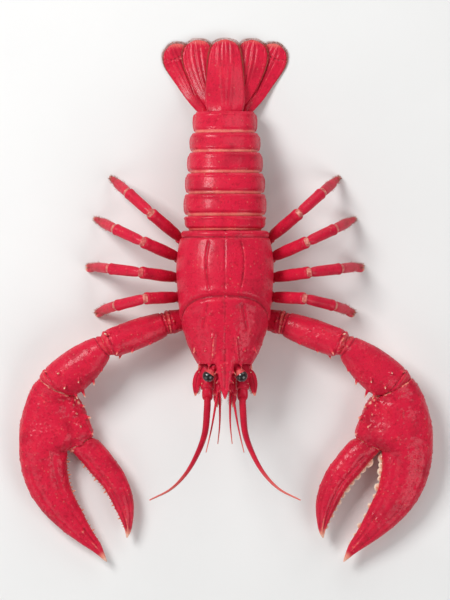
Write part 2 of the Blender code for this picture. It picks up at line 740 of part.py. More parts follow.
def hand_sections(rows, side, facings):
    """Sections of the palm or a finger, at the height where the palm rests on the floor."""
    wide_factor, thick_factor = CLAW_BUILD[side]
    level = CLAW_LEVEL * thick_factor
    centres = [Vector((x, y, level + lift)) for x, y, _, _, lift in rows]
    sections = []
    for k, (_, _, wide, thick, _) in enumerate(rows):
        facing = centres[min(k + 1, len(rows) - 1)] - centres[max(k - 1, 0)]
        facing = facings.get(k, facing)
        sections.append(
            Section(centres[k], facing, wide * wide_factor, thick * thick_factor, powers=HAND_POWERS)
        )
    return sections


def finger_seat(palm):
    """The middle of the finger's hinge on the palm, the way it faces and half its width."""
    near = palm[HINGE_SECTION]
    far = palm[HINGE_SECTION + 1]
    inner = near.centre + near.across * near.half_width
    outer = far.centre + far.across * far.half_width
    along = outer - inner
    return (inner + outer) / 2, along.cross(UP).normalized(), along.length / 2


def claw_teeth(sections, side, stretch, angle):
    """Teeth along one edge of a finger: blunt molars on the crushing claw, sharp on the other."""
    count, length, radius, blunt = CLAW_TEETH[side]
    first, last = stretch[0], len(sections) - stretch[1]
    teeth = []
    for k in range(count):
        share = k / (count - 1)
        point, out = surface(sections, first + (last - first) * share, angle)
        size = 1.0 - TOOTH_TAPER * share
        teeth.append(spine(point, out, length * size, radius * size, TOOTH_SIDES, blunt))
    return teeth


def make_arm(side):
    """The arm of one side, from the thorax to the wrist. Returns the wrist and where it faces."""
    wrist = Vector((*HAND[0][:2], WRIST_LEVEL[side]))
    palm_axis = Vector((*HAND[2][:2], 0.0)) - Vector((*HAND[0][:2], 0.0))
    bend = mitre(ARM_ROOT, ARM_BEND, ARM_ISCHIUM_END)
    hip = mitre(ARM_BEND, ARM_ISCHIUM_END, ARM_MERUS_END)
    elbow = mitre(ARM_ISCHIUM_END, ARM_MERUS_END, wrist)
    wrist_facing = mitre(ARM_MERUS_END, wrist, wrist + palm_axis + UP * WRIST_DROP)

    base = podomere(ARM_ROOT - OUTWARD * GAP / 2, ARM_BEND, OUTWARD, bend, ARM_BASE)
    ischium = podomere(ARM_BEND, ARM_ISCHIUM_END, bend, hip, ISCHIUM)
    part(f"arm_base_{side}", [lofted(base + ischium, ARM_SIDES)], "shell", side)

    merus = podomere(ARM_ISCHIUM_END, ARM_MERUS_END, hip, elbow, MERUS)
    spines = spines_on(merus, MERUS_SPINES, MERUS_LEAN)
    part(f"arm_merus_{side}", [lofted(merus, ARM_SIDES), *spines], "shell", side)

    carpus = podomere(ARM_MERUS_END, wrist, elbow, wrist_facing, CARPUS)
    spines = spines_on(carpus, CARPUS_SPINES, CARPUS_LEAN)
    part(f"arm_carpus_{side}", [lofted(carpus, ARM_SIDES), *spines], "shell", side)
    return wrist, wrist_facing


def make_claw(side, wrist, wrist_facing):
    """The claw of one side: the palm with the finger's socket, the fixed and the moving finger."""
    hand = hand_sections(HAND, side, {HINGE_SECTION: FORWARD, HINGE_SECTION + 1: FORWARD})
    hand[0] = Section(wrist + wrist_facing * GAP / 2, wrist_facing, hand[0].half_width, hand[0].rise)
    seat, hinge, room = finger_seat(hand)
    thick_factor = CLAW_BUILD[side][1]
    socket = [
        Section(seat - hinge * depth, hinge, room * wide, thick * thick_factor, powers=HAND_POWERS)
        for depth, wide, thick in SOCKET
    ]
    palm = hand[: HINGE_SECTION + 2]
    spines = spines_on(palm, PALM_SPINES, PALM_LEAN, PALM_SPINE_RADIUS, PALM_SPINE_BLUNT)
    pieces = [settle(lofted(palm, CLAW_SIDES)), lofted(socket, CLAW_SIDES), *spines]
    part(f"claw_palm_{side}", pieces, "claw", side)

    root = palm[-1]
    fixed = [Section(root.centre + FORWARD * GAP, FORWARD, root.half_width, root.rise, powers=HAND_POWERS)]
    fixed += hand[HINGE_SECTION + 2 :]
    teeth = claw_teeth(fixed, side, FIXED_TEETH, 0.0)
    part(f"claw_fixed_finger_{side}", [settle(lofted(fixed, CLAW_SIDES)), *teeth], "claw", side)

    finger = hand_sections(FINGER, side, {})
    finger[0] = Section(seat + hinge * GAP, hinge, room * FINGER_ROOM, finger[0].rise, powers=HAND_POWERS)
    teeth = claw_teeth(finger, side, FINGER_TEETH, math.pi)
    part(f"claw_finger_{side}", [lofted(finger, ARM_SIDES), *teeth], "claw", side)


def limb(centres, rows, first_facing, last_facing=None):
    """Sections through the centres, each facing along the limb, with the half sizes of the rows."""
    sections = []
    for k, (centre, row) in enumerate(zip(centres, rows)):
        facing = centres[min(k + 1, len(centres) - 1)] - centres[max(k - 1, 0)]
        if k == 0:
            facing = first_facing
        elif last_facing and k == len(centres) - 1:
            facing = last_facing
        sections.append(Section(centre, facing, row[-2], row[-1]))
    return sections


def make_leg(number, side):
    """A walking leg in two nodes: from the coxa to the knee, and from the knee to the foot."""
    root_y, knee, ankle, foot, has_pincer = LEGS[number - 2]
    root = Vector((THORAX_HALF_WIDTH + GAP, root_y, COXA_HEIGHT))
    knee, ankle, foot = Vector(knee), Vector(ankle), Vector(foot)
    bend = Vector((COXA_BEND[0], root_y + COXA_TURN * (knee.y - root_y), COXA_BEND[1]))
    knee_facing = mitre(bend, knee, ankle)

    stretches = ((root, bend), (bend, knee - knee_facing * GAP / 2))
    centres = []
    for stretch, share, _, _ in LEG_UPPER:
        bow = LEG_BOW * 4 * share * (1 - share) if stretch else 0.0
        start, end = stretches[stretch]
        centres.append(start.lerp(end, share) + UP * bow)
    upper = limb(centres, LEG_UPPER, OUTWARD, knee_facing)
    part(f"leg_{number}_upper_{side}", [lofted(upper, LEG_SIDES)], "shell", side)

    stretches = ((knee + knee_facing * GAP / 2, ankle), (ankle, foot))
    centres = [start.lerp(end, row[1]) for row in LEG_LOWER for start, end in [stretches[row[0]]]]
    lower = limb(centres, LEG_LOWER, knee_facing)
    pieces = [lofted(lower, LEG_SIDES)]
    if has_pincer:
        pieces.append(leg_thumb(ankle.lerp(foot, TOE_SHARE), foot, lower[-3].across))
    part(f"leg_{number}_lower_{side}", [settle(piece) for piece in pieces], "shell", side)


def leg_thumb(toe, foot, aside):
    """The shorter half of the small pincer that ends the second and third legs."""
    along = (foot - toe).normalized()
    start = toe - along * THUMB_SPREAD
    sections = [
        Section(start.lerp(foot, share) + aside * (THUMB_SPREAD * spread), along, wide, thick)
        for share, spread, wide, thick in THUMB
    ]
    return lofted(sections, SMALL_SIDES)


def make_eye(side):
    """An eye on its short stalk, beside the beak."""
    facing = (EYE_CENTRE - EYESTALK_ROOT).normalized()
    seat = EYE_CENTRE - facing * (EYE_FLAT + GAP)
    rim = math.sqrt(EYE_RADIUS**2 - EYE_FLAT**2)
    stalk = [Section(EYESTALK_ROOT, FORWARD, EYESTALK_RADIUS, EYESTALK_RADIUS)]
    stalk += [
        Section(EYESTALK_ROOT.lerp(seat, share), facing, radius, radius)
        for share, radius in ((0.35, EYESTALK_RADIUS), (0.8, rim), (1.0, rim))
    ]
    part(f"eyestalk_{side}", [lofted(stalk, LEG_SIDES)], "shell", side)

    low = -math.asin(EYE_FLAT / EYE_RADIUS)
    ball = []
    for k in range(EYE_RINGS + 1):
        angle = low + (EYE_TOP - low) * k / EYE_RINGS
        radius = EYE_RADIUS * math.cos(angle)
        ball.append(Section(EYE_CENTRE + facing * EYE_RADIUS * math.sin(angle), facing, radius, radius))
    part(f"eye_{side}", [lofted(ball, PLATE_SIDES)], "eye", side)


def make_antenna(side):
    """The long feeler: a jointed base with its scale, and a whip in two lengths."""
    leaving = ANTENNA_PATH[1] - ANTENNA_PATH[0]
    base = podomere(ANTENNA_ROOT - FORWARD * GAP / 2, ANTENNA_BASE_END, FORWARD, leaving, ANTENNA_BASE)
    scale = [Section((x, y, SCALE_HEIGHT), FORWARD, wide, thick) for x, y, wide, thick in SCALE]
    spines = spines_on(base, ANTENNA_SPINES, ANTENNA_SPINE_LEAN, ANTENNA_SPINE_RADIUS)
    pieces = [lofted(base, PLATE_SIDES), lofted(scale, SMALL_SIDES), *spines]
    part(f"antenna_base_{side}", pieces, "shell", side)

    count = ANTENNA_LENGTHS * POINTS_PER_LENGTH
    path = smooth_path(ANTENNA_PATH, count + 1)
    thick, thin = ANTENNA_RADII
    radii = [thick + (thin - thick) * (k / count) ** ANTENNA_TAPER for k in range(count + 1)]
    for number in range(ANTENNA_LENGTHS):
        span = slice(number * POINTS_PER_LENGTH, (number + 1) * POINTS_PER_LENGTH + 1)
        points = path[span]
        points[0] = points[0] + (points[1] - points[0]).normalized() * GAP
        name = f"antenna_whip_{number + 1}_{side}"
        part(name, [tube(name, points, radii[span])], "feeler", side)


def make_antennule(side):
    """The short feeler: a jointed stem with two fine branches."""
    root = ANTENNULE_ROOT - FORWARD * GAP / 2
    pieces = [lofted(podomere(root, ANTENNULE_END, FORWARD, FORWARD, ANTENNULE_STEM), SMALL_SIDES)]
    thick, thin = ANTENNULE_RADII
    radii = [thick + (thin - thick) * k / (BRANCH_POINTS - 1) for k in range(BRANCH_POINTS)]
    for path in ANTENNULE_BRANCHES:
        points = smooth_path([Vector(point) for point in path], BRANCH_POINTS)
        pieces.append(tube("antennule_branch", points, radii))
    part(f"antennule_{side}", pieces, "feeler", side)


def make_mouth_leg(side):
    """The foremost of the mouth's leg-like feeding limbs, folded under the head."""
    centres = [Vector(row[:3]) for row in MOUTH_LEG]
    part(f"mouth_leg_{side}", [lofted(limb(centres, MOUTH_LEG, FORWARD), LEG_SIDES)], "shell_light", side)


def main():
    """Builds the whole animal."""
    global model
    model = start_scene()
    make_carapace()
    make_thorax()
    make_abdomen()
    make_tail_fan()
    for side in ("left", "right"):
        make_claw(side, *make_arm(side))
        for number in range(2, 6):
            make_leg(number, side)
        make_eye(side)
        make_antenna(side)
        make_antennule(side)
        make_mouth_leg(side)


main()
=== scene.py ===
# %% [markdown]
# # A lobster, plate by plate
#
# A lobster wears its skeleton outside. Each piece of this script is one of its hard plates, one
# length of limb, or a soft skin or a row of hairs between them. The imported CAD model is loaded
# first, because it says where every plate lies. Then each plate is modelled more finely in the
# same place. All sizes are in metres. The head looks towards -Y and the animal's left is +X.

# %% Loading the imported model
import math
import random

import bpy
import numpy as np
from mathutils import Matrix, Vector


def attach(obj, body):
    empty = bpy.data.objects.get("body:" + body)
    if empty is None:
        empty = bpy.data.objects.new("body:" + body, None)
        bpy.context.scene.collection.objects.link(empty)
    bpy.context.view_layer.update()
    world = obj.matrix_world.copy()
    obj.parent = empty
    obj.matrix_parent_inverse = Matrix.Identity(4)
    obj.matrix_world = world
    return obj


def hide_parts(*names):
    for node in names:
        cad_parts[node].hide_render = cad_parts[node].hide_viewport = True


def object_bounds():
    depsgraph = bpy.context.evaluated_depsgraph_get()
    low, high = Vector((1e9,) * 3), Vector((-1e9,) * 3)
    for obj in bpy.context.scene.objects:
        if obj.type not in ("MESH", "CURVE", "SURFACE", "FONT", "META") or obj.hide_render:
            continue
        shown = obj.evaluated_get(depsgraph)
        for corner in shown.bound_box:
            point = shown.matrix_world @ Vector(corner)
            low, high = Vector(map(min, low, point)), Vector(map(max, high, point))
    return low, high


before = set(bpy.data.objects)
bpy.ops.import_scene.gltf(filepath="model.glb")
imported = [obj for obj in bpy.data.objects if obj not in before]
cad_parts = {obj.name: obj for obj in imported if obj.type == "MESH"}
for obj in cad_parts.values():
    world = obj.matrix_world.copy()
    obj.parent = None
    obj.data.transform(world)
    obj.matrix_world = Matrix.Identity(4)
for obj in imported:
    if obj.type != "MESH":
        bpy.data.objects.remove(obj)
CAD_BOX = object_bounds()
print("the CAD box, in mm:", [[round(1000 * n, 1) for n in corner] for corner in CAD_BOX])

# %% [markdown]
# ## Camera, floor and light
#
# The animal is seen from straight above. A camera far above it with a long lens keeps the
# perspective weak, so the claws on the floor and the high back keep their true sizes. The frame
# is 450 by 600 and covers about 41 by 55 cm on the floor. Large area lamps give the soft light of
# a studio, one of them stronger, so that the plates show their roundness.

# %% Camera
UP = Vector((0, 0, 1))
FORWARD = Vector((0, -1, 0))
OUTWARD = Vector((1, 0, 0))
CAMERA_HEIGHT = 3.0
FRAME_HEIGHT = 0.548
BODY_LEVEL = 0.018
SENSOR = 36.0
PICTURE_SHIFT = -0.0004
FLOOR_SIZE = 6.0
FLOOR_LEVEL = -0.0002

lens = bpy.data.cameras.new("camera")
lens.sensor_width = SENSOR
lens.lens = SENSOR * (CAMERA_HEIGHT - BODY_LEVEL) / FRAME_HEIGHT
lens.clip_start = 0.05
camera = bpy.data.objects.new("camera", lens)
camera.location = (0, PICTURE_SHIFT, CAMERA_HEIGHT)
bpy.context.scene.collection.objects.link(camera)
bpy.context.scene.camera = camera
bpy.context.scene.view_settings.view_transform = "Standard"
print("focal length:", round(lens.lens, 1), "mm")

# %% Lamps
for name, place, size, power in (
    ("key_light", (-1.0, 0.8, 1.5), 0.75, 28.0),
    ("fill_light", (1.2, -0.9, 1.3), 1.2, 14.0),
    ("back_light", (0.6, 1.6, 0.9), 1.2, 9.0),
    ("low_light", (-1.2, -1.0, 0.9), 1.2, 7.0),
):
    lamp = bpy.data.lights.new(name, "AREA")
    lamp.size = size
    lamp.energy = power
    holder = bpy.data.objects.new(name, lamp)
    holder.location = place
    holder.rotation_euler = (-Vector(place)).to_track_quat("-Z", "Y").to_euler()
    bpy.context.scene.collection.objects.link(holder)
world = bpy.data.worlds.new("studio")
world.use_nodes = True
world.node_tree.nodes["Background"].inputs["Color"].default_value = (0.94, 0.95, 0.97, 1)
world.node_tree.nodes["Background"].inputs["Strength"].default_value = 0.16
bpy.context.scene.world = world

# %% [markdown]
# ## Materials
#
# Shader maths reads best as sums. `Value` wraps an output socket and turns +, -, * and / into
# Math nodes. `Finish` wraps a material and makes any other node from its type, its settings and
# the values of its sockets.

# %% Shader maths


class Value:
    """An output socket of a material, with the signs of arithmetic."""

    def __init__(self, finish, socket):
        self.finish = finish
        self.socket = socket

    def maths(self, operation, first, second):
        return self.finish.node("ShaderNodeMath", {"operation": operation}, {0: first, 1: second})

    def __add__(self, other):
        return self.maths("ADD", self, other)

    def __sub__(self, other):
        return self.maths("SUBTRACT", self, other)

    def __rsub__(self, other):
        return self.maths("SUBTRACT", other, self)

    def __mul__(self, other):
        return self.maths("MULTIPLY", self, other)

    __radd__, __rmul__ = __add__, __mul__


class Finish:
    """A material that is being put together."""

    def __init__(self, name, **constants):
        self.material = bpy.data.materials.new(name)
        self.material.use_nodes = True
        self.tree = self.material.node_tree
        self.surface = self.tree.nodes["Principled BSDF"]
        for socket, value in constants.items():
            self.surface.inputs[socket.replace("_", " ")].default_value = value

    def node(self, kind, settings=None, sockets=None, output=0):
        """Any node: its type, its settings, then the values or links of its sockets."""
        made = self.tree.nodes.new(kind)
        for name, setting in (settings or {}).items():
            setattr(made, name, setting)
        for name, given in (sockets or {}).items():
            if isinstance(given, Value):
                self.tree.links.new(given.socket, made.inputs[name])
            else:
                made.inputs[name].default_value = given
        return Value(self, made.outputs[output])

    def place(self):
        return self.node("ShaderNodeTexCoord", output="Object")

    def noise(self, scale, detail=3.0, rough=0.55):
        sockets = {"Vector": self.place(), "Scale": scale, "Detail": detail, "Roughness": rough}
        return self.node("ShaderNodeTexNoise", sockets=sockets)

    def cells(self, scale, feature="F1"):
        sockets = {"Vector": self.place(), "Scale": scale}
        return self.node("ShaderNodeTexVoronoi", {"feature": feature}, sockets)

    def painted(self, name):
        """A mask that is painted on the mesh, point by point."""
        return self.node("ShaderNodeAttribute", {"attribute_name": name}, output="Fac")

    def rise(self, value, low, high):
        """0 below low, 1 above high, and a soft slope between them."""
        sockets = {"Value": value, "From Min": low, "From Max": high}
        return self.node("ShaderNodeMapRange", {"interpolation_type": "SMOOTHSTEP"}, sockets)

    def blend(self, share, first, second):
        """A mix of two colours."""
        return self.node("ShaderNodeMix", {"data_type": "RGBA"}, {0: share, 6: first, 7: second}, 2)

    def bump(self, height, distance, strength=1.0, below=None):
        sockets = {"Height": height, "Distance": distance, "Strength": strength}
        if below:
            sockets["Normal"] = below
        return self.node("ShaderNodeBump", sockets=sockets)

    def set(self, **sockets):
        """Links values to the surface's sockets. Returns the finished material."""
        for name, value in sockets.items():
            self.tree.links.new(value.socket, self.surface.inputs[name.replace("_", " ")])
        return self.material


# %% [markdown]
# ### Shell
#
# The shell is lime under a thin horny skin. Its crimson is never even: there are darker clouds, a
# fine speckle, pale spots where the shell is worn, and small pits that each hold a hair. Paint
# masks on the mesh say where it grows pale, at tips and undersides, and where painted shade
# darkens a crease. The pits and the finest granules are a bump, too small to model.

# %% Shell material
CRIMSON = (0.655, 0.0115, 0.045, 1)
WINE = (0.340, 0.0050, 0.022, 1)
SCARLET = (0.800, 0.0180, 0.048, 1)
CORAL = (0.860, 0.300, 0.215, 1)
IVORY = (0.870, 0.690, 0.520, 1)
HOLLOW_SHADE_RED = (0.150, 0.0060, 0.012, 1)


def shell_finish(name, pit_scale=420.0, mottle=1.0, coat=0.18):
    """A crimson shell: clouds, speckle, pale and dark masks, pits and a thin gloss."""
    finish = Finish(name, Coat_Weight=coat, Coat_Roughness=0.16, Specular_IOR_Level=0.15)
    clouds = finish.noise(34.0, 5.0, 0.62)
    veins = finish.noise(95.0, 4.0, 0.7)
    blotches = finish.noise(190.0, 4.0, 0.72)
    speckle = finish.noise(520.0, 2.0, 0.6)
    colour = finish.blend(finish.rise(clouds, 0.46, 0.70) * (0.55 * mottle), CRIMSON, WINE)
    colour = finish.blend(finish.rise(veins, 0.50, 0.68) * (0.55 * mottle), colour, SCARLET)
    colour = finish.blend(finish.rise(blotches, 0.52, 0.66) * (0.50 * mottle), colour, WINE)
    colour = finish.blend(finish.rise(speckle, 0.58, 0.70) * (0.45 * mottle), colour, WINE)
    granule = finish.rise(finish.cells(230.0), 0.26, 0.06) * finish.rise(veins, 0.46, 0.56)
    colour = finish.blend(granule * (0.26 * mottle), colour, CORAL)
    pale = finish.painted("pale")
    ragged = finish.rise(pale + veins * 0.5, 0.42, 1.05)
    colour = finish.blend(ragged, colour, CORAL)
    colour = finish.blend(finish.rise(pale + speckle * 0.15, 0.85, 1.1) * 0.9, colour, IVORY)
    # Painted shade: the dark mask darkens the shell in its creases and hollows.
    colour = finish.blend(finish.painted("dark") * 0.75, colour, HOLLOW_SHADE_RED)
    pits = finish.rise(finish.cells(pit_scale), 0.10, 0.42)
    granules = finish.cells(pit_scale * 2.3, "SMOOTH_F1")
    relief = finish.bump(pits, 0.00034, 0.75)
    relief = finish.bump(granules, 0.00014, 0.40, relief)
    relief = finish.bump(granule, 0.00045, 0.60, relief)
    relief = finish.bump(blotches, 0.0006, 0.35, relief)
    rough = 0.30 + clouds * 0.16 + (1 - pits) * 0.25 + finish.painted("dark") * 0.2
    return finish.set(Base_Color=colour, Roughness=rough, Normal=relief)


shell = shell_finish("shell_crimson")
claw_shell = shell_finish("claw_crimson", pit_scale=330.0, mottle=1.1, coat=0.20)
limb_shell = shell_finish("limb_crimson", pit_scale=620.0, mottle=0.9, coat=0.17)
print("shell materials:", shell.name, claw_shell.name, limb_shell.name)

# %% [markdown]
# ### Soft skin, teeth, feelers, hairs and eyes
#
# Between the plates lies a wrinkled, paler skin. The claws' teeth are like worn ivory, stained
# red at the root. A feeler is ringed, and its rings follow a mask that runs along it. Hairs are
# rust brown, and the eye is black glass made of tiny facets.

# %% Other materials


def skin_finish():
    """The pale folded skin of the joints."""
    finish = Finish("joint_skin", Coat_Weight=0.15, Coat_Roughness=0.4)
    folds = finish.noise(430.0, 3.0, 0.6)
    colour = finish.blend(
        finish.rise(folds, 0.35, 0.7), (0.47, 0.060, 0.055, 1), (0.80, 0.32, 0.24, 1),
    )
    colour = finish.blend(finish.rise(finish.noise(60.0), 0.45, 0.7) * 0.6, colour, CRIMSON)
    relief = finish.bump(folds, 0.0005, 0.7)
    return finish.set(Base_Color=colour, Roughness=0.38 + folds * 0.2, Normal=relief)


def tooth_finish():
    """Ivory teeth that are stained at the root."""
    finish = Finish("tooth_ivory", Coat_Weight=0.3, Coat_Roughness=0.2)
    grain = finish.noise(300.0, 4.0, 0.6)
    root = finish.painted("root")
    colour = finish.blend(grain, (0.86, 0.70, 0.50, 1), (0.93, 0.84, 0.68, 1))
    colour = finish.blend(
        finish.rise(root + grain * 0.3, 0.75, 1.15), colour, (0.70, 0.20, 0.12, 1),
    )
    relief = finish.bump(finish.cells(700.0), 0.0001, 0.4)
    return finish.set(Base_Color=colour, Roughness=0.26 + grain * 0.2, Normal=relief)


def feeler_finish():
    """Crimson feelers with rings that follow their length."""
    finish = Finish("feeler_crimson", Coat_Weight=0.15, Coat_Roughness=0.2, Specular_IOR_Level=0.15)
    along = finish.painted("along")
    ring = finish.node("ShaderNodeMath", {"operation": "SINE"}, {0: along * (math.tau / 0.0016)})
    band = finish.noise(70.0, 3.0)
    # Its own lighter rings, and painted shade in the ring bump's grooves between them.
    colour = finish.blend(
        finish.rise(ring, -0.9, 0.2), (0.50, 0.0085, 0.034, 1), (0.72, 0.0140, 0.047, 1),
    )
    colour = finish.blend(finish.rise(band, 0.45, 0.7) * 0.6, colour, SCARLET)
    colour = finish.blend(finish.painted("pale") * 0.55, colour, CORAL)
    relief = finish.bump(ring, 0.00022, 0.8)
    return finish.set(Base_Color=colour, Roughness=0.34 + band * 0.15, Normal=relief)


def hair_finish():
    """Rust brown hairs."""
    finish = Finish("hair_rust", Coat_Weight=0.05, Coat_Roughness=0.5)
    tint = finish.noise(240.0, 2.0)
    colour = finish.blend(tint, (0.20, 0.016, 0.014, 1), (0.62, 0.13, 0.075, 1))
    return finish.set(Base_Color=colour, Roughness=0.45 + tint * 0.2)


def eye_finish():
    """A black faceted eye."""
    finish = Finish("eye_black", Coat_Weight=0.8, Coat_Roughness=0.09)
    facets = finish.cells(3600.0)
    sheen = finish.noise(260.0, 2.0)
    colour = finish.blend(
        finish.rise(sheen, 0.4, 0.8), (0.003, 0.003, 0.004, 1), (0.020, 0.009, 0.008, 1),
    )
    relief = finish.bump(facets, 0.00004, 0.5)
    return finish.set(Base_Color=colour, Roughness=0.24 + facets * 0.15, Normal=relief)


joint_skin, tooth_ivory, feeler_crimson = skin_finish(), tooth_finish(), feeler_finish()
hair_rust, eye_black = hair_finish(), eye_finish()
print(
    "other materials:",
    [m.name for m in (joint_skin, tooth_ivory, feeler_crimson, hair_rust, eye_black)],
)

# %% Floor
floor_finish = Finish("floor_pale", Specular_IOR_Level=0.3)
grain = floor_finish.noise(9.0, 4.0)
floor_finish.set(
    Base_Color=floor_finish.blend(grain, (0.80, 0.80, 0.79, 1), (0.85, 0.85, 0.84, 1)),
    Roughness=0.62 + grain * 0.1,
)
bpy.ops.object.select_all(action="DESELECT")
bpy.ops.mesh.primitive_plane_add(size=FLOOR_SIZE, location=(0, 0, FLOOR_LEVEL))
floor = bpy.context.active_object
floor.name = "floor"
bpy.ops.object.transform_apply(location=True)
floor.data.materials.append(floor_finish.material)

# %% [markdown]
# ## Modelling tools
#
# Nearly every plate of a lobster is a tube whose section changes along its way. By hand one would
# add a circle, then extrude, turn and resize it again and again. `loft` does just that, ring by
# ring. A real section is squarer than a circle, so its points are then pushed out a little to a
# superellipse, as a sculptor would.

# %% Selecting and modifying


def choose(*things):
    """Deselects everything, then selects these things, the first of them active."""
    bpy.ops.object.select_all(action="DESELECT")
    for thing in things:
        thing.select_set(True)
    bpy.context.view_layer.objects.active = things[0]


def modify(piece, kind, **settings):
    """Adds a modifier to the piece and applies it."""
    choose(piece)
    modifier = piece.modifiers.new(kind.lower(), kind)
    for name, setting in settings.items():
        setattr(modifier, name, setting)
    bpy.ops.object.modifier_apply(modifier=modifier.name)
    return piece


def subdivide(piece, levels=1):
    """Rounds a piece with a subdivision surface."""
    return modify(piece, "SUBSURF", levels=levels, render_levels=levels)


def joined(name, pieces):
    """Several meshes as one object."""
    choose(*pieces)
    if len(pieces) > 1:
        bpy.ops.object.join()
    pieces[0].name = name
    return pieces[0]


def face_outwards(piece):
    """Turns all faces outwards."""
    choose(piece)
    bpy.ops.object.mode_set(mode="EDIT")
    bpy.ops.mesh.select_all(action="SELECT")
    bpy.ops.mesh.normals_make_consistent(inside=False)
    bpy.ops.object.mode_set(mode="OBJECT")
    return piece


def turned_over(piece):
    """Turns a piece over to the other side of the body."""
    choose(piece)
    piece.scale.x = -1
    bpy.ops.object.transform_apply(scale=True)
    return face_outwards(piece)


def mirrored(piece, name):
    """A copy of the piece, with its own mesh, on the other side of the body."""
    choose(piece)
    bpy.ops.object.duplicate(linked=False)
    twin = bpy.context.active_object
    twin.name = name
    return turned_over(twin)


def ball(radius, place, resizing, segments=20, bands=12, turn=(0, 0, 0), **axes_given):
    """A sphere that is resized about its middle."""
    bpy.ops.object.select_all(action="DESELECT")
    bpy.ops.mesh.primitive_uv_sphere_add(
        segments=segments, ring_count=bands, radius=radius, location=place, rotation=turn,
    )
    piece = bpy.context.active_object
    bpy.ops.object.mode_set(mode="EDIT")
    bpy.ops.transform.resize(value=resizing, center_override=place, **axes_given)
    bpy.ops.object.mode_set(mode="OBJECT")
    bpy.ops.object.transform_apply(location=True, rotation=True)
    return piece


# %% Rings and lofts


class Ring:
    """A cross-section: its centre, the way it faces, and its half sizes."""

    def __init__(self, centre, facing, wide, rise, drop=None, up=UP, powers=(2.0, 2.0)):
        self.centre = Vector(centre)
        self.facing = Vector(facing).normalized()
        self.across = self.facing.cross(up).normalized()
        self.up = self.across.cross(self.facing).normalized()
        self.wide = wide
        self.rise = rise
        self.drop = rise if drop is None else drop
        self.powers = powers

    def frame(self):
        return Matrix((self.across, self.up, self.across.cross(self.up))).transposed()

    def point(self, angle):
        """The point of the outline at this angle, from the across direction upwards."""
        power = self.powers[0] if math.sin(angle) >= 0 else self.powers[1]
        flat = math.copysign(abs(math.cos(angle)) ** (2 / power), math.cos(angle))
        tall = math.copysign(abs(math.sin(angle)) ** (2 / power), math.sin(angle))
        height = self.rise if tall >= 0 else self.drop
        return self.centre + self.across * (flat * self.wide) + self.up * (tall * height)

    def like(self, move, size):
        """A ring of the same kind, moved and resized."""
        wide, rise = self.wide * size, self.rise * size
        return Ring(self.centre + move, self.facing, wide, rise, powers=self.powers)

    def outward(self, angle):
        return (self.point(angle) - self.centre).normalized()


def axes(matrix):
    """A matrix's axes, as a transform operator wants them."""
    return tuple(tuple(column) for column in matrix.col)


def turn_selected(before, after, centre):
    """Turns what is selected from one frame to another."""
    axis, angle = (after @ before.inverted()).to_quaternion().to_axis_angle()
    if abs(angle) > 1e-6:
        bpy.ops.transform.rotate(
            value=angle, orient_axis="Z", orient_type="GLOBAL", orient_matrix_type="GLOBAL",
            orient_matrix=axes(axis.to_track_quat("Z", "Y").to_matrix()),
            constraint_axis=(False, False, True), center_override=centre,
        )


def resize_selected(matrix, wide, tall, centre):
    """Resizes what is selected along the first two axes of a frame."""
    bpy.ops.transform.resize(
        value=(wide, tall, 1), orient_type="GLOBAL", orient_matrix_type="GLOBAL",
        orient_matrix=axes(matrix), center_override=centre,
    )


def loft(name, rings, sides=24):
    """A closed tube: a circle at the first ring, extruded to each next one."""
    first = rings[0]
    bpy.ops.object.select_all(action="DESELECT")
    bpy.ops.mesh.primitive_circle_add(
        vertices=sides, radius=first.wide, fill_type="NGON",
        location=first.centre, rotation=first.frame().to_euler(),
    )
    piece = bpy.context.active_object
    piece.name = name
    bpy.ops.object.mode_set(mode="EDIT")
    resize_selected(first.frame(), 1, first.rise / first.wide, first.centre)
    for near, far in zip(rings, rings[1:]):
        step = {"value": far.centre - near.centre}
        bpy.ops.mesh.extrude_region_move(TRANSFORM_OT_translate=step)
        turn_selected(near.frame(), far.frame(), far.centre)
        resize_selected(far.frame(), far.wide / near.wide, far.rise / near.rise, far.centre)
    bpy.ops.object.mode_set(mode="OBJECT")
    bpy.ops.object.transform_apply(location=True, rotation=True)
    angles = [math.pi / 2 + math.tau * k / sides for k in range(sides)]
    put(piece, np.array([ring.point(angle) for ring in rings for angle in angles]))
    return face_outwards(piece)


# %% Points as arrays


def points_of(piece, what="co"):
    """The places of a piece's points, or something else that each point has."""
    found = np.empty(3 * len(piece.data.vertices), dtype=np.float32)
    piece.data.vertices.foreach_get(what, found)
    return found.reshape(-1, 3).astype(float)


def points_and_ways(piece):
    """The places of a piece's points, and the way that each point faces."""
    return points_of(piece), points_of(piece, "normal")


def put(piece, places):
    """Moves a piece's points to these places."""
    piece.data.vertices.foreach_set("co", np.asarray(places, dtype=np.float32).ravel())
    piece.data.update()
    return piece


def away_from(places, spot):
    """How far each place is from a spot."""
    return np.linalg.norm(places - np.array(spot), axis=1)


def unit(rows):
    """Rows as directions of length 1."""
    return rows / np.linalg.norm(rows, axis=1)[:, None]


def nearest_on(line, places):
    """For each place, the number of the nearest point of a line."""
    return np.argmin(((places[:, None] - line[None]) ** 2).sum(axis=2), axis=1)


def run_of(line):
    """How far along its line each point lies."""
    return np.concatenate([[0], np.cumsum(np.linalg.norm(np.diff(line, axis=0), axis=1))])


def at_runs(line, run, at):
    """The places at these distances along a line."""
    return np.stack([np.interp(at, run, line[:, k]) for k in range(3)], axis=1)


def centres_of(rings):
    """The middle line of a row of rings."""
    return np.array([tuple(ring.centre) for ring in rings])


def push(piece, amount):
    """Moves each point along its normal by the amount that a function gives for the places."""
    places, ways = points_and_ways(piece)
    return put(piece, places + ways * amount(places, ways)[:, None])


def rest_flat(piece):
    """Flattens what would lie under the floor."""
    places = points_of(piece)
    places[:, 2] = np.maximum(places[:, 2], 0.0)
    return put(piece, places)


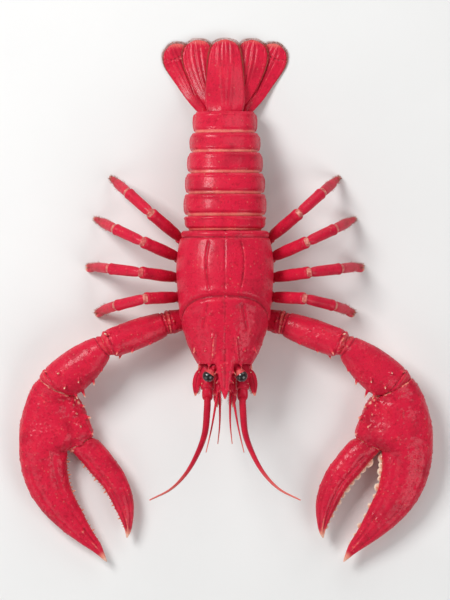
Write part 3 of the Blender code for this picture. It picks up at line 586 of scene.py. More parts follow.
def neighbours_of(piece):
    """The two ends of each edge, and a function that averages over each point's neighbours."""
    pairs = np.empty(2 * len(piece.data.edges), dtype=np.int32)
    piece.data.edges.foreach_get("vertices", pairs)
    one, two = pairs.reshape(-1, 2).T
    total = len(piece.data.vertices)
    count = np.bincount(one, minlength=total) + np.bincount(two, minlength=total)

    def mean(values):
        columns = values.reshape(total, -1).T
        sums = [
            np.bincount(one, row[two], total) + np.bincount(two, row[one], total)
            for row in columns
        ]
        return (np.stack(sums, axis=1) / count[:, None]).reshape(values.shape)

    return one, two, mean


def bell(distance, width):
    """1 at no distance, and down to nothing in a soft slope."""
    return np.exp(-((distance / width) ** 2))


def bells(*rows):
    """A sum of bells, from rows of height, distance and width."""
    return sum(height * bell(distance, width) for height, distance, width in rows)


def slope(values, low, high):
    """0 at low, 1 at high, and a soft slope between them."""
    share = np.clip((values - low) / (high - low), 0, 1)
    return share * share * (3 - 2 * share)


def finer(rows, count):
    """A table's rows made count rows, on smooth curves through the given ones."""
    given = np.array(rows, dtype=float)
    ends = np.vstack([2 * given[0] - given[1], given, 2 * given[-1] - given[-2]])
    fine = []
    for k in range(count):
        place = k * (len(given) - 1) / (count - 1)
        i = min(int(place), len(given) - 2)
        t = place - i
        a, b, c, d = ends[i : i + 4]
        square, cube = 2 * a - 5 * b + 4 * c - d, 3 * b - a - 3 * c + d
        fine.append(0.5 * (2 * b + (c - a) * t + square * t**2 + cube * t**3))
    return fine


# %% [markdown]
# ## Skins, spines and paint
#
# Where spines grow from a plate there is no seam. They are modelled as cones that stand in the
# plate, all is joined, and a voxel remesh melts it to one skin, whose faces are small and even.
# Relief is then pushed into it: grooves and ridges by a sum of bells, granules as low knobs at
# random points, and unevenness by a Displace modifier with a cloud texture. Last the paint masks
# are worked out: a hollow gets painted shade, a worn edge and a spine's tip grow pale.

# %% Skin over joined pieces


def one_skin(piece, voxel, smooth=4):
    """Melts the bodies of a piece into one skin."""
    modify(piece, "REMESH", mode="VOXEL", voxel_size=voxel)
    return modify(piece, "SMOOTH", factor=0.5, iterations=smooth)


def uneven(piece, size, depth):
    """Waves in the skin, as wide and as high as these sizes."""
    clouds = bpy.data.textures.new("clouds", "CLOUDS")
    clouds.noise_scale = size
    clouds.noise_depth = 3
    return modify(
        piece, "DISPLACE", texture=clouds, texture_coords="LOCAL", strength=depth, mid_level=0.5,
    )


def granulate(piece, count, radius, height, where, seed):
    """Scatters low knobs over the part of a skin where the mask is above 0."""
    rng = np.random.default_rng(seed)
    places, ways = points_and_ways(piece)
    chance = where(places, ways)
    lift = np.zeros(len(places))
    for index in rng.choice(len(places), count, p=chance / chance.sum()):
        size = rng.uniform(0.55, 1.25)
        lift = np.maximum(lift, size * bell(away_from(places, places[index]), radius * size))
    return put(piece, places + ways * (height * lift)[:, None])


# %% Spines


def cone(name, root, way, length, radius, blunt=0.2, sides=12):
    """A spine that stands in the plate below it."""
    way = Vector(way).normalized()
    sunk = 0.6 * length
    bpy.ops.object.select_all(action="DESELECT")
    bpy.ops.mesh.primitive_cone_add(
        vertices=sides, radius1=radius * (1 + 0.3 * sunk / length), radius2=radius * blunt,
        depth=length + sunk, location=Vector(root) + way * (length - sunk) / 2,
        rotation=way.to_track_quat("Z", "Y").to_euler(),
    )
    bpy.ops.object.transform_apply(location=True, rotation=True)
    bpy.context.active_object.name = name
    return bpy.context.active_object


def surface(rings, place, angle):
    """A point of a loft's skin, part way along its rings, and the way out there."""
    i = min(int(place), len(rings) - 2)
    t = place - i
    near, far = rings[i], rings[i + 1]
    way = near.outward(angle).lerp(far.outward(angle), t).normalized()
    return near.point(angle).lerp(far.point(angle), t), way


class Spine:
    """A spine's place, direction, length and radius."""

    def __init__(self, root, way, length, radius=0.0020, blunt=0.22):
        self.root = Vector(root)
        self.way = Vector(way).normalized()
        self.length = length
        self.radius = radius
        self.blunt = blunt

    def tip(self):
        return self.root + self.way * self.length

    def mesh(self):
        return cone("spine", self.root, self.way, self.length, self.radius, self.blunt)

    def mirrored(self):
        flip = Vector((-1, 1, 1))
        return Spine(self.root * flip, self.way * flip, self.length, self.radius, self.blunt)


def spines_along(rings, rows, lean, **sizes):
    """Spines on a row of rings, from rows of place, angle and length."""
    ahead = rings[len(rings) // 2].facing * lean
    spines = []
    for place, angle, length in rows:
        root, out = surface(rings, place, angle)
        spines.append(Spine(root, out + ahead, length, **sizes))
    return spines


# %% Paint masks
HOLLOW_ROUNDS = 3
PALE_TIP = 0.75


def paint(piece, name, values):
    """Keeps one number for each point of the piece, for its material to read."""
    mask = piece.data.attributes.get(name) or piece.data.attributes.new(name, "FLOAT", "POINT")
    mask.data.foreach_set("value", np.clip(values, 0, 1).astype(np.float32))


def hollow(piece):
    """How deep each point lies between its neighbours: above 0 in a hollow, below on an edge."""
    one, two, mean = neighbours_of(piece)
    places, ways = points_and_ways(piece)
    step = np.linalg.norm(places[one] - places[two], axis=1).mean()
    depth = ((mean(places) - places) * ways).sum(axis=1) / step
    for _ in range(HOLLOW_ROUNDS):
        depth = 0.5 * depth + 0.5 * mean(depth)
    return depth


def relax(piece, mask, rounds):
    """Smooths the part of a skin where the mask is 1."""
    _, _, mean = neighbours_of(piece)
    places = points_of(piece)
    share = mask(places)[:, None] * 0.6
    for _ in range(rounds):
        places += (mean(places) - places) * share
    return put(piece, places)


def near_tips(places, spines):
    """1 at the tips of spines, down to 0 further back."""
    masks = [np.zeros(len(places))]
    for spine in spines:
        distance = away_from(places, spine.tip())
        masks.append(1 - slope(distance, 0.1 * spine.length, PALE_TIP * spine.length))
    return np.max(masks, axis=0)


def weather(piece, spines=(), pale=None, wear=6.0, hollow_shading=9.0):
    """Paints the pale mask of a shell plate, and the dark mask: painted shade in its hollows."""
    places, ways = points_and_ways(piece)
    depth = hollow(piece)
    worn = np.clip(-depth * wear - 0.35, 0, 0.55)
    light = [worn, near_tips(places, spines), 0.60 * slope(-ways[:, 2], 0.0, 1.0)]
    if pale is not None:
        light.append(pale(places, ways))
    paint(piece, "pale", np.max(light, axis=0))
    # The dark mask is painted shade: it darkens the hollows, where shade falls.
    paint(piece, "dark", np.clip(depth * hollow_shading - 0.25, 0, 1))
    return piece


# %% Finishing a piece
BOX_MARGIN = 0.0001
made = []


def finished(piece, material, slot, *nodes):
    """Gives a piece its material and its place in the frame, in the CAD box. Its slot is unused."""
    low, high = (np.array(corner) for corner in CAD_BOX)
    put(piece, np.clip(points_of(piece), low + BOX_MARGIN, high - BOX_MARGIN))
    piece.data.materials.clear()
    piece.data.materials.append(material)
    piece.data.shade_smooth()
    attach(piece, "root")
    if nodes:
        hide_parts(*nodes)
    piece.data.calc_loop_triangles()
    made.append((piece.name, len(piece.data.loop_triangles)))
    print(f"{piece.name}: {made[-1][1]} triangles")
    return piece


def both_sides(piece, material, slot, *nodes):
    """Finishes a left piece and its mirror image. The nodes are named without their side."""
    twin = mirrored(piece, piece.name.replace("left", "right"))
    finished(twin, material, slot, *[f"{node}_right" for node in nodes])
    finished(piece, material, slot, *[f"{node}_left" for node in nodes])


# %% [markdown]
# ## The shield
#
# One shield covers head and chest. It is a long vault that ends in a beak with side teeth. A deep
# groove, the neck, crosses it and runs forward down both flanks, and a fine seam follows the
# middle of the back. It could be one subdivided cage, but the spines and the beak would need many
# small faces, so the vault, the beak and the spines are joined and get one skin. The grooves and
# the rims are pushed into that skin.

# %% Shield sizes
# y, half width, top, low, and the level where it is widest
SHIELD = (
    (-0.058, 0.0250, 0.0705, 0.0370, 0.0510),
    (-0.050, 0.0295, 0.0735, 0.0345, 0.0500),
    (-0.038, 0.0345, 0.0765, 0.0320, 0.0490),
    (-0.024, 0.0385, 0.0795, 0.0305, 0.0485),
    (-0.010, 0.0412, 0.0815, 0.0300, 0.0485),
    (0.005, 0.0429, 0.0826, 0.0300, 0.0485),
    (0.024, 0.0440, 0.0825, 0.0300, 0.0485),
    (0.040, 0.0432, 0.0805, 0.0300, 0.0485),
    (0.052, 0.0411, 0.0780, 0.0300, 0.0480),
    (0.062, 0.0383, 0.0755, 0.0305, 0.0470),
)
# y, z, half width, half thickness
BEAK = (
    (-0.034, 0.0722, 0.0200, 0.0043),
    (-0.043, 0.0708, 0.0160, 0.0042),
    (-0.052, 0.0702, 0.0116, 0.0040),
    (-0.060, 0.0706, 0.0084, 0.0037),
    (-0.071, 0.0702, 0.0058, 0.0031),
    (-0.081, 0.0698, 0.0036, 0.0022),
    (-0.0895, 0.0708, 0.0009, 0.0008),
)
# Root, direction, length and radius of the spines on the left
HEAD_SPINES = (
    ((0.0066, -0.0640, 0.0706), (0.8, -0.8, 0.25), 0.0056, 0.0015),
    ((0.0050, -0.0720, 0.0702), (0.8, -0.8, 0.25), 0.0052, 0.0014),
    ((0.0034, -0.0800, 0.0699), (0.7, -0.9, 0.25), 0.0044, 0.0012),
    ((0.0142, -0.0570, 0.0668), (0.15, -1.0, 0.25), 0.0078, 0.0018),
    ((0.0222, -0.0570, 0.0570), (0.35, -1.0, 0.05), 0.0078, 0.0020),
    ((0.0174, -0.0440, 0.0708), (0.30, -1.0, 0.55), 0.0050, 0.0019),
    ((0.0272, -0.0455, 0.0655), (0.45, -1.0, 0.40), 0.0032, 0.0015),
    ((0.0118, -0.0330, 0.0770), (0.15, -1.0, 0.70), 0.0024, 0.0014),
)
NECK_Y = 0.003
NECK_SWEEP = 0.024
WIDEST_Z = 0.0485
FLOOR_OF_SHIELD = 0.0300
RIM_Y = 0.0563
SHIELD_RINGS = 46
BEAK_RINGS = 30
SHIELD_VOXEL = 0.00075
HEAD_GRANULES = 260

# %% Vault, beak and spines
vault = loft(
    "shield",
    [
        Ring((0, y, widest), -FORWARD, half, top - widest, widest - low, powers=(2.15, 3.2))
        for y, half, top, low, widest in finer(SHIELD, SHIELD_RINGS)
    ],
    64,
)
beak_rings = [
    Ring((0, y, z), FORWARD, half, thick) for y, z, half, thick in finer(BEAK, BEAK_RINGS)
]
beak = loft("beak", beak_rings, 28)
head_spines = [Spine(*row) for row in HEAD_SPINES]
head_spines += [spine.mirrored() for spine in head_spines]
shield = joined("shield", [vault, beak, *[spine.mesh() for spine in head_spines]])
one_skin(shield, SHIELD_VOXEL)


def beak_root(places):
    """Where the beak grows out of the vault, but not on the spines."""
    x, y, z = np.abs(places[:, 0]), places[:, 1], places[:, 2]
    spread = slope(-y, 0.026, 0.036) * (1 - slope(-y, 0.058, 0.064)) * slope(z, 0.066, 0.069)
    for spine in head_spines:
        spread = spread * slope(away_from(places, spine.root), 0.0025, 0.0045)
    return spread * (1 - slope(x, 0.018, 0.024))


relax(shield, beak_root, 40)
print("shield skin:", len(shield.data.vertices), "points")

# %% [markdown]
# The neck groove is a curve on the vault: at the top it crosses the middle line, and lower down
# it lies further forward. For each point the distance to that curve along the body gives the
# depth of the groove. The seam, the two faint gill lines behind the neck and the rolled rims are
# made the same way.

# %% Relief of the shield


def face_relief(x, y, z, ways):
    """The face below the beak: sunk inside a thick rim, with the raised plate above the mouth."""
    front = slope(-y, 0.0560, 0.0572) * slope(-ways[:, 1], 0.55, 0.85)
    half_height = np.where(z > 0.051, 0.0195, 0.0140)
    out = ((x / 0.0250) ** 2.4 + (np.abs(z - 0.051) / half_height) ** 2.4) ** (1 / 2.4)
    under_beak = slope(z, 0.0640, 0.0660) * (1 - slope(x, 0.007, 0.009))
    depth = -0.0032 * ((1 - slope(out, 0.80, 0.90)) * front * (1 - under_beak))
    lean = 0.3 * (z - 0.042)
    plate = (1 - slope(x, 0.0085 - lean, 0.0108 - lean)) * slope(z, 0.0385, 0.0400)
    plate = plate * (1 - slope(z, 0.0505, 0.0525))
    relief = 0.0024 + bells((0.0007, x, 0.0012), (-0.0007, z - 0.0445, 0.0009))
    return depth + front * plate * relief


def shield_relief(places, ways):
    """Grooves, swellings and rims of the shield, as pushes along the normal."""
    x, y, z = np.abs(places[:, 0]), places[:, 1], places[:, 2]
    lift = np.clip((z - WIDEST_Z) / 0.034, 0, 1) ** 1.08
    neck = NECK_Y - NECK_SWEEP * (1 - lift) ** 1.2
    back = slope(y, -0.05, -0.03)
    top = slope(z, 0.034, 0.040)
    depth = top * back * bells(
        (-0.0017, y - neck, 0.0021), (0.0008, y - neck - 0.0052, 0.0034),
        (0.0005, y - neck + 0.0052, 0.0034),
    )
    high = slope(z, 0.066, 0.074)
    depth -= 0.0006 * bell(x, 0.00075) * high * slope(y, -0.046, -0.036)
    gill = 0.0132 + 0.0040 * np.sin((y - 0.006) / 0.052 * math.pi)
    reach = slope(y, 0.006, 0.012) * (1 - slope(y, 0.050, 0.056))
    depth -= 0.0009 * bell(x - gill, 0.0011) * high * reach
    jaw = 0.0142 + 0.2 * (0.003 - y)
    reach = slope(y, -0.030, -0.024) * (1 - slope(y, -0.006, -0.001))
    depth -= 0.0009 * bell(x - jaw, 0.0014) * high * reach
    ridge = 0.0118 - 0.09 * (y + 0.058)
    depth += 0.0014 * bell(x - ridge, 0.0014) * high * (1 - slope(y, -0.036, -0.022))
    reach = slope(-y, 0.038, 0.050) * (1 - slope(-y, 0.078, 0.086))
    depth -= 0.0017 * bell(x, 0.0021) * slope(z, 0.066, 0.070) * reach
    depth += bells((-0.0011, y - RIM_Y, 0.0011), (0.0006, y - 0.0595, 0.0018))
    side = slope(x, 0.02, 0.026)
    depth -= 0.0009 * bell(z - 0.0350, 0.0011) * side * (1 - bell(y - RIM_Y, 0.004))
    depth += 0.0005 * bell(z - 0.0322, 0.0018) * side
    return depth + face_relief(x, y, z, ways)


push(shield, shield_relief)
uneven(shield, 0.016, 0.0007)


def on_the_head(places, ways):
    """Where granules grow: in front of the neck, on the upper side, not on the beak."""
    front = -places[:, 1]
    return slope(front, -0.010, 0.050) * slope(ways[:, 2], -0.2, 0.4) * slope(front, 0.070, 0.056)


granulate(shield, HEAD_GRANULES, 0.0011, 0.00040, on_the_head, 2)
weather(shield, head_spines)
finished(shield, shell, "shell", "carapace")

# %% [markdown]
# ## The tail's six rings
#
# Behind the shield the body is a row of six rings, so that it can curl. Each ring slides under the
# one before it: its front is a smooth lower facet, and its back is a thin rim that stands over the
# next facet. The loft runs out to the rim, turns inwards and comes back, which gives the rim its
# thickness. A pointed flap hangs from each side. The first ring is narrow and has none.

# %% Ring sizes
GAP = 0.0003
# y, half width, top, low, at the front of each ring and at the end of the last
TAIL = (
    (0.0623, 0.0350, 0.0735, 0.0310),
    (0.0750, 0.0362, 0.0720, 0.0300),
    (0.0950, 0.0354, 0.0690, 0.0280),
    (0.1140, 0.0336, 0.0640, 0.0250),
    (0.1330, 0.0316, 0.0570, 0.0210),
    (0.1510, 0.0293, 0.0485, 0.0165),
    (0.1710, 0.0260, 0.0370, 0.0120),
)
# Share of the ring's length, swell of its section, from the facet to the rim and back inside
RING_SWELL = (
    (0.00, 0.915), (0.03, 0.932), (0.12, 0.938), (0.19, 0.945), (0.215, 0.958), (0.235, 0.982),
    (0.27, 0.997), (0.36, 1.004), (0.55, 1.012), (0.75, 1.018), (0.90, 1.022), (0.97, 1.022),
    (1.015, 1.014), (1.035, 1.000), (1.035, 0.975), (1.00, 0.965), (0.96, 0.955), (0.96, 0.5),
)
# A flap from its root down: share of the ring, drop in depths, half width in lengths, half
# thickness, distance out
FLAP = (
    (0.50, -0.9, 0.44, 0.0024, -0.0030),
    (0.52, -0.15, 0.42, 0.0021, -0.0004),
    (0.60, 0.45, 0.33, 0.0017, 0.0004),
    (0.74, 0.85, 0.17, 0.0012, 0.0002),
    (0.80, 1.0, 0.05, 0.0007, 0.0000),
)
FLAP_DEPTH = 0.013
LAST_FLAP = 0.7
CLEARANCE = 0.0030
RING_VOXEL = 0.00062

# %% Rings and flaps


def tail_flap(y0, y1, half, low, depth):
    """The pointed flap on the left side of a ring."""
    length = y1 - y0
    rings = [
        Ring((half + out, y0 + along * length, low - drop * depth), -UP, wide * length, thick,
             up=OUTWARD, powers=(2.4, 2.4))
        for along, drop, wide, thick, out in finer(FLAP, 16)
    ]
    return loft("flap", rings, 20)


def tail_ring(number, front, back):
    """One ring of the tail with its flaps."""
    y0, y1 = front[0], back[0] - GAP
    rings = []
    for along, swell in RING_SWELL:
        half, top, low = [a + (b - a) * min(along, 1.0) for a, b in zip(front[1:], back[1:])]
        middle = low + 0.30 * (top - low)
        rings.append(Ring((0, y0 + along * (y1 - y0), middle), -FORWARD, half * swell,
                          (top - middle) * swell, (middle - low) * (0.5 + 0.5 * swell),
                          powers=(2.3, 3.5)))
    pieces = [loft("tail_ring", rings, 72)]
    half, low = (front[1] + back[1]) / 2, (front[3] + back[3]) / 2
    if number > 1:
        depth = min(FLAP_DEPTH, low - 1.5 * CLEARANCE) * (LAST_FLAP if number == 6 else 1.0)
        flap = tail_flap(y0, y1, half, low, depth)
        pieces += [flap, mirrored(flap, "flap")]
    ring = one_skin(joined(f"tail_ring_{number}", pieces), RING_VOXEL, 3)

    def relief(places, ways):
        x, z = np.abs(places[:, 0]), places[:, 2]
        along = (places[:, 1] - y0) / (y1 - y0)
        side = slope(x, 0.80 * half, 0.93 * half)
        depth = 0.0005 * bell(along - 0.90, 0.07) * slope(z, low, low + 0.004)
        depth -= 0.0006 * bell(z - low - 0.0045, 0.0016) * side * bell(along - 0.55, 0.28)
        knob = np.hypot((z - low - 0.0085) * 0.8, (along - 0.50) * 0.012)
        depth += 0.0008 * bell(knob, 0.0030) * side
        below = slope(-ways[:, 2], 0.6, 0.9)
        for crease in (0.36, 0.80):
            depth -= 0.0007 * bell(along - crease, 0.05) * below
        return depth

    push(ring, relief)
    uneven(ring, 0.013, 0.00035)

    def facet_pale(places, ways):
        return 0.50 * (1 - slope((places[:, 1] - y0) / (y1 - y0), 0.10, 0.24))

    weather(ring, pale=facet_pale, wear=5.0)
    return finished(ring, shell, "shell", f"abdomen_{number}")


for number, (front, back) in enumerate(zip(TAIL, TAIL[1:]), start=1):
    tail_ring(number, front, back)

# %% [markdown]
# ## Hairs
#
# Hairs fringe the tail fan, the paddles, the feelers' scales, the mouth's limbs and the toes.
# Thousands of them could be particles, but those don't leave Blender, so each hair is a thin bent
# spike of ten triangles, and a whole row is one mesh made from arrays. Their bake map gives each
# hair a small patch at its root's place on the row it grows from.

# %% Hair rows
HAIR_PATCH = 0.003
HAIR_PATCH_CORNERS = ((0, 0), (1, 0), (0.5, 0.3), (0, 0.8), (1, 0.8), (0.5, 0.9), (0.5, 1))
HAIR_THICK = 0.00011
HAIR_DROOP = 0.125


def hair_row(name, roots, ways, lengths, places_on_row, seed):
    """A mesh of hairs from their roots, directions and lengths, given in one or more layers."""
    rng = np.random.default_rng(seed)
    roots, ways, places_on_row = (np.vstack(rows) for rows in (roots, ways, places_on_row))
    count = len(roots)
    ways = unit(ways + rng.normal(0, 0.10, (count, 3)))
    lengths = np.asarray(lengths) * rng.uniform(0.75, 1.08, count)
    aside = unit(np.cross(ways, rng.normal(0, 1, (count, 3))))
    other = np.cross(ways, aside)
    bend = rng.normal(0, 0.12, (count, 3)) - np.array([0, 0, HAIR_DROOP])
    points = np.empty((count, 7, 3))
    for corner in range(3):
        angle = math.tau * corner / 3
        out = aside * math.cos(angle) + other * math.sin(angle)
        points[:, corner] = roots - ways * 0.0005 + out * HAIR_THICK
        points[:, 3 + corner] = roots + ways * (lengths * 0.55)[:, None] + out * HAIR_THICK * 0.7
    points[:, 6] = roots + (ways + bend * 0.5) * lengths[:, None]
    points[..., 2] = np.maximum(points[..., 2], 0.0003)
    pattern = [(2, 1, 0)]
    for corner in range(3):
        after = (corner + 1) % 3
        pattern += [
            (corner, after, 3 + after), (corner, 3 + after, 3 + corner), (3 + corner, 3 + after, 6),
        ]
    faces = (np.array(pattern)[None] + 7 * np.arange(count)[:, None, None]).reshape(-1, 3)
    mesh = bpy.data.meshes.new(name)
    mesh.from_pydata(points.reshape(-1, 3).tolist(), [], faces.tolist())
    hairs = bpy.data.objects.new(name, mesh)
    bpy.context.scene.collection.objects.link(hairs)
    corners = np.array(HAIR_PATCH_CORNERS)[None] * HAIR_PATCH + places_on_row[:, None, :]
    layer = mesh.uv_layers.new(name="OFBake")
    layer.data.foreach_set("uv", corners.reshape(-1, 2)[faces.ravel()].ravel().astype(np.float32))
    return face_outwards(hairs)


def patches(shares, level, reach=0.95):
    """Places of the hairs' patches: along the row, and at one level across it."""
    return np.stack([shares * reach, np.full(len(shares), level)], axis=1)


def margin_of(rings):
    """The outline of a flat loft: up one side of its rings and down the other."""
    return [ring.point(math.pi) for ring in rings] + [ring.point(0) for ring in reversed(rings)]


def along_line(points, spacing):
    """Places at even steps along a line of points, and the share of the line at each."""
    line = np.array([tuple(point) for point in points])
    run = run_of(line)
    at = np.arange(0.5 * spacing, run[-1], spacing)
    return at_runs(line, run, at), at / run[-1]


# %% [markdown]
# ## The tail fan
#
# Five thin blades open like a fan: a middle one and two on each side. Each is a flat loft, with
# ridges that stiffen it like the ribs of a leaf and a thick rim along its sides. The outermost
# blade is jointed across, with small teeth on the joint. Fine hairs fringe the free edges, so the
# blades end a little before the solids do, and the hairs fill the rest.

# %% Blade sizes
REACH = 0.240
FAN_Y = 0.171
# x, y, z, half width, half thickness
MIDDLE_BLADE = (
    (0.0, FAN_Y, 0.0290, 0.0165, 0.0065),
    (0.0, 0.1780, 0.0268, 0.0180, 0.0058),
    (0.0, 0.1900, 0.0205, 0.0183, 0.0044),
    (0.0, 0.2030, 0.0140, 0.0174, 0.0031),
    (0.0, 0.2140, 0.0101, 0.0163, 0.0024),
    (0.0, 0.2240, 0.0080, 0.0151, 0.0019),
    (0.0, 0.2320, 0.0070, 0.0132, 0.0015),
    (0.0, 0.2375, 0.0065, 0.0098, 0.0012),
    (0.0, REACH, 0.0062, 0.0042, 0.0009),
)
INNER_BLADE = (
    (0.0095, FAN_Y, 0.0165, 0.0040, 0.0034),
    (0.0125, 0.1800, 0.0142, 0.0065, 0.0029),
    (0.0168, 0.1910, 0.0106, 0.0096, 0.0023),
    (0.0207, 0.2030, 0.0076, 0.0122, 0.0018),
    (0.0232, 0.2140, 0.0054, 0.0141, 0.0015),
    (0.0248, 0.2230, 0.0042, 0.0147, 0.0013),
    (0.0258, 0.2310, 0.0037, 0.0134, 0.0011),
    (0.0265, 0.2368, 0.0035, 0.0098, 0.0010),
    (0.0269, 0.2396, 0.0034, 0.0044, 0.0008),
)
OUTER_BLADE = (
    (0.0190, FAN_Y, 0.0148, 0.0040, 0.0028),
    (0.0243, 0.1785, 0.0100, 0.0056, 0.0024),
    (0.0300, 0.1895, 0.0050, 0.0082, 0.0019),
    (0.0350, 0.2020, 0.0024, 0.0110, 0.0016),
    (0.0390, 0.2115, 0.0014, 0.0130, 0.0013),
    (0.0428, 0.2200, 0.0010, 0.0139, 0.0011),
    (0.0458, 0.2270, 0.0009, 0.0128, 0.0010),
    (0.0482, 0.2325, 0.0009, 0.0094, 0.0010),
    (0.0496, 0.2355, 0.0009, 0.0042, 0.0009),
)
FRINGE = 0.0024
FRINGE_LAYERS = 3
FRINGE_SPACING = 0.00042
BLADE_POWERS = (1.7, 2.4)
BLADE_RINGS = 44
BLADE_STANDS_IN = 0.0014
# Size and distance of the two small rings that round a blade's end
BLADE_END = ((0.72, 0.0005), (0.35, 0.0008))

# %% Blades


def blade_rings(rows):
    """The rings of a blade, drawn in at its end to leave room for the fringe."""
    fine = finer(rows, BLADE_RINGS)
    root, end = Vector(rows[0][:3]), Vector(rows[-1][:3])
    keep = 1 - FRINGE / (end - root).length
    centres = [root + (Vector(row[:3]) - root) * keep for row in fine]
    rings = []
    for k, row in enumerate(fine):
        ahead = centres[min(k + 1, len(fine) - 1)]
        facing = ahead - centres[k - 1] if k else Vector((0, 1, 0))
        rings.append(Ring(centres[k], facing, row[3] * 0.985, row[4], powers=BLADE_POWERS))
    last = rings[-1]
    ends = [last.like(last.facing * forth, size) for size, forth in BLADE_END]
    return [rings[0].like(FORWARD * BLADE_STANDS_IN, 0.97), *rings, *ends]


def blade_relief(rings, ribs, joint=None):
    """Ribs that fan out from the root, a rim along the edges and, on one blade, a joint across."""
    centres = centres_of(rings)
    across = np.array([tuple(ring.across) for ring in rings])
    wides = np.array([ring.wide for ring in rings])
    widest = wides.max()

    def relief(places, ways):
        nearest = nearest_on(centres[:, :2], places[:, :2])
        aside = ((places - centres[nearest]) * across[nearest]).sum(axis=1) / wides[nearest]
        along = nearest / (len(rings) - 1)
        above = slope(ways[:, 2], 0.2, 0.6)
        depth = np.zeros(len(places))
        for rib, height in ribs:
            fade = slope(along, 0.03, 0.12) * (1 - slope(along, 0.72, 0.94))
            beside = aside - rib * (0.35 + 0.65 * along)
            depth += height * bell(beside, 0.09) * fade * above
            depth -= 0.5 * height * bell(np.abs(beside) - 0.17, 0.06) * fade * above
        fine = np.sin(aside * wides[nearest] / 0.0011 * math.tau / 2)
        depth += 0.00012 * fine * slope(along, 0.45, 0.75) * above
        broad = slope(wides[nearest], 0.4 * widest, 0.8 * widest)
        depth += 0.00040 * bell(np.abs(aside) - 0.90, 0.06) * broad
        if joint:
            bow = joint + 0.05 * aside**2 + 0.012 * np.abs(np.sin(aside * 14))
            crease = (-0.00075, along - bow, 0.011)
            depth += bells(crease, (0.00040, along - bow + 0.035, 0.018)) * above
        return depth

    return relief


def fan_blade(name, rows, ribs, joint=None):
    """One blade of the fan and its fringe."""
    rings = blade_rings(rows)
    blade = loft(name, rings, 40)
    subdivide(blade)
    push(blade, blade_relief(rings, ribs, joint))
    rest_flat(blade)
    uneven(blade, 0.012, 0.0002)
    margin, middle = margin_of(rings[BLADE_RINGS // 3 :]), centres_of(rings)

    def end_pale(places, ways):
        end = places[:, 1].max()
        return 0.42 * slope(places[:, 1], end - 0.010, end)

    # Less edge wear and lighter painted shade in the hollows than on the other plates.
    weather(blade, pale=end_pale, wear=3.0, hollow_shading=6.0)
    return blade, margin, middle


def fringe_of(name, margin, middle, seed):
    """Hairs along a margin, pointing away from the middle line of the blade."""
    line, shares = along_line(margin, FRINGE_SPACING)
    ways = unit(line - middle[np.maximum(nearest_on(middle, line) - 8, 0)])
    ways[:, 1] += 0.55
    ways[:, 2] *= 0.3
    lengths = (FRINGE + 0.0006) * np.clip(np.sin(shares * math.pi) * 1.6, 0.25, 1.0)
    layers = range(FRINGE_LAYERS)
    roots = [line + np.array([0, 0, 0.00012 * (layer - 1)]) for layer in layers]
    spots = [patches(shares, 0.1 + 0.2 * layer, 0.98) for layer in layers]
    all_lengths = np.tile(lengths, FRINGE_LAYERS)
    return hair_row(name, roots, [ways] * FRINGE_LAYERS, all_lengths, spots, seed)


# Share of the half width where a rib lies, height
MIDDLE_RIBS = ((-0.55, 0.0006), (0.55, 0.0006), (-0.18, 0.0003), (0.18, 0.0003))
SIDE_RIBS = ((0.05, 0.0007), (-0.4, 0.0003), (0.45, 0.0003))
blade, margin, middle = fan_blade("fan_middle", MIDDLE_BLADE, MIDDLE_RIBS)
finished(blade, shell, "shell", "telson")
finished(fringe_of("fan_middle_fringe", margin, middle, 3), hair_rust, "shell")
for place, rows, joint, seed in (("inner", INNER_BLADE, None, 5), ("outer", OUTER_BLADE, 0.66, 7)):
    blade, margin, middle = fan_blade(f"fan_{place}_left", rows, SIDE_RIBS, joint)
    fringe = fringe_of(f"fan_{place}_fringe_left", margin, middle, seed)
    both_sides(blade, shell, "shell", f"uropod_{place}")
    both_sides(fringe, hair_rust, "shell")

# %% [markdown]
# ## Arms and claws
#
# Each arm is a chain of thick tubes that meet at slanted joints. An arm's length is a loft whose
# first and last rings lie in the planes of its joints, with spines and two knuckles at its far
# end. The claw is the largest plate of all: palm and fixed finger are one shell, so they get one
# skin, and the moving finger is hinged in a socket on the palm. The left claw crushes and is the
# heavier one, with blunt teeth. The right one cuts and is slimmer, with sharp teeth.

# %% Sizes of arms and claws
CHEST_HALF_WIDTH = 0.017
HIP_HEIGHT = 0.0215
ARM_ROOT = Vector((CHEST_HALF_WIDTH + GAP, -0.0145, HIP_HEIGHT))
ARM_BEND = Vector((0.0330, -0.0165, 0.0215))
ARM_KNEE = Vector((0.0530, -0.0215, 0.0280))
ARM_ELBOW = Vector((0.1080, -0.0415, 0.0380))
WRIST_LEVEL = {"left": 0.0300, "right": 0.0280}
WRIST_DROP = -0.002
# Share of the length, half width, half thickness
ARM_BASE = (
    (0.0, 0.0080, 0.0070), (0.35, 0.0085, 0.0074), (0.80, 0.0084, 0.0074), (1.0, 0.0078, 0.0069),
)
LOWER_ARM = (
    (0.0, 0.0076, 0.0066), (0.12, 0.0088, 0.0075), (0.5, 0.0100, 0.0082), (0.86, 0.0112, 0.0090),
    (1.0, 0.0098, 0.0080),
)
UPPER_ARM = (
    (0.0, 0.0095, 0.0078), (0.12, 0.0118, 0.0098), (0.45, 0.0136, 0.0115),
    (0.78, 0.0135, 0.0122), (0.93, 0.0128, 0.0118), (1.0, 0.0100, 0.0090),
)
FOREARM = (
    (0.0, 0.0098, 0.0088), (0.14, 0.0135, 0.0118), (0.42, 0.0176, 0.0140),
    (0.74, 0.0192, 0.0148), (0.93, 0.0184, 0.0136), (1.0, 0.0160, 0.0112),
)
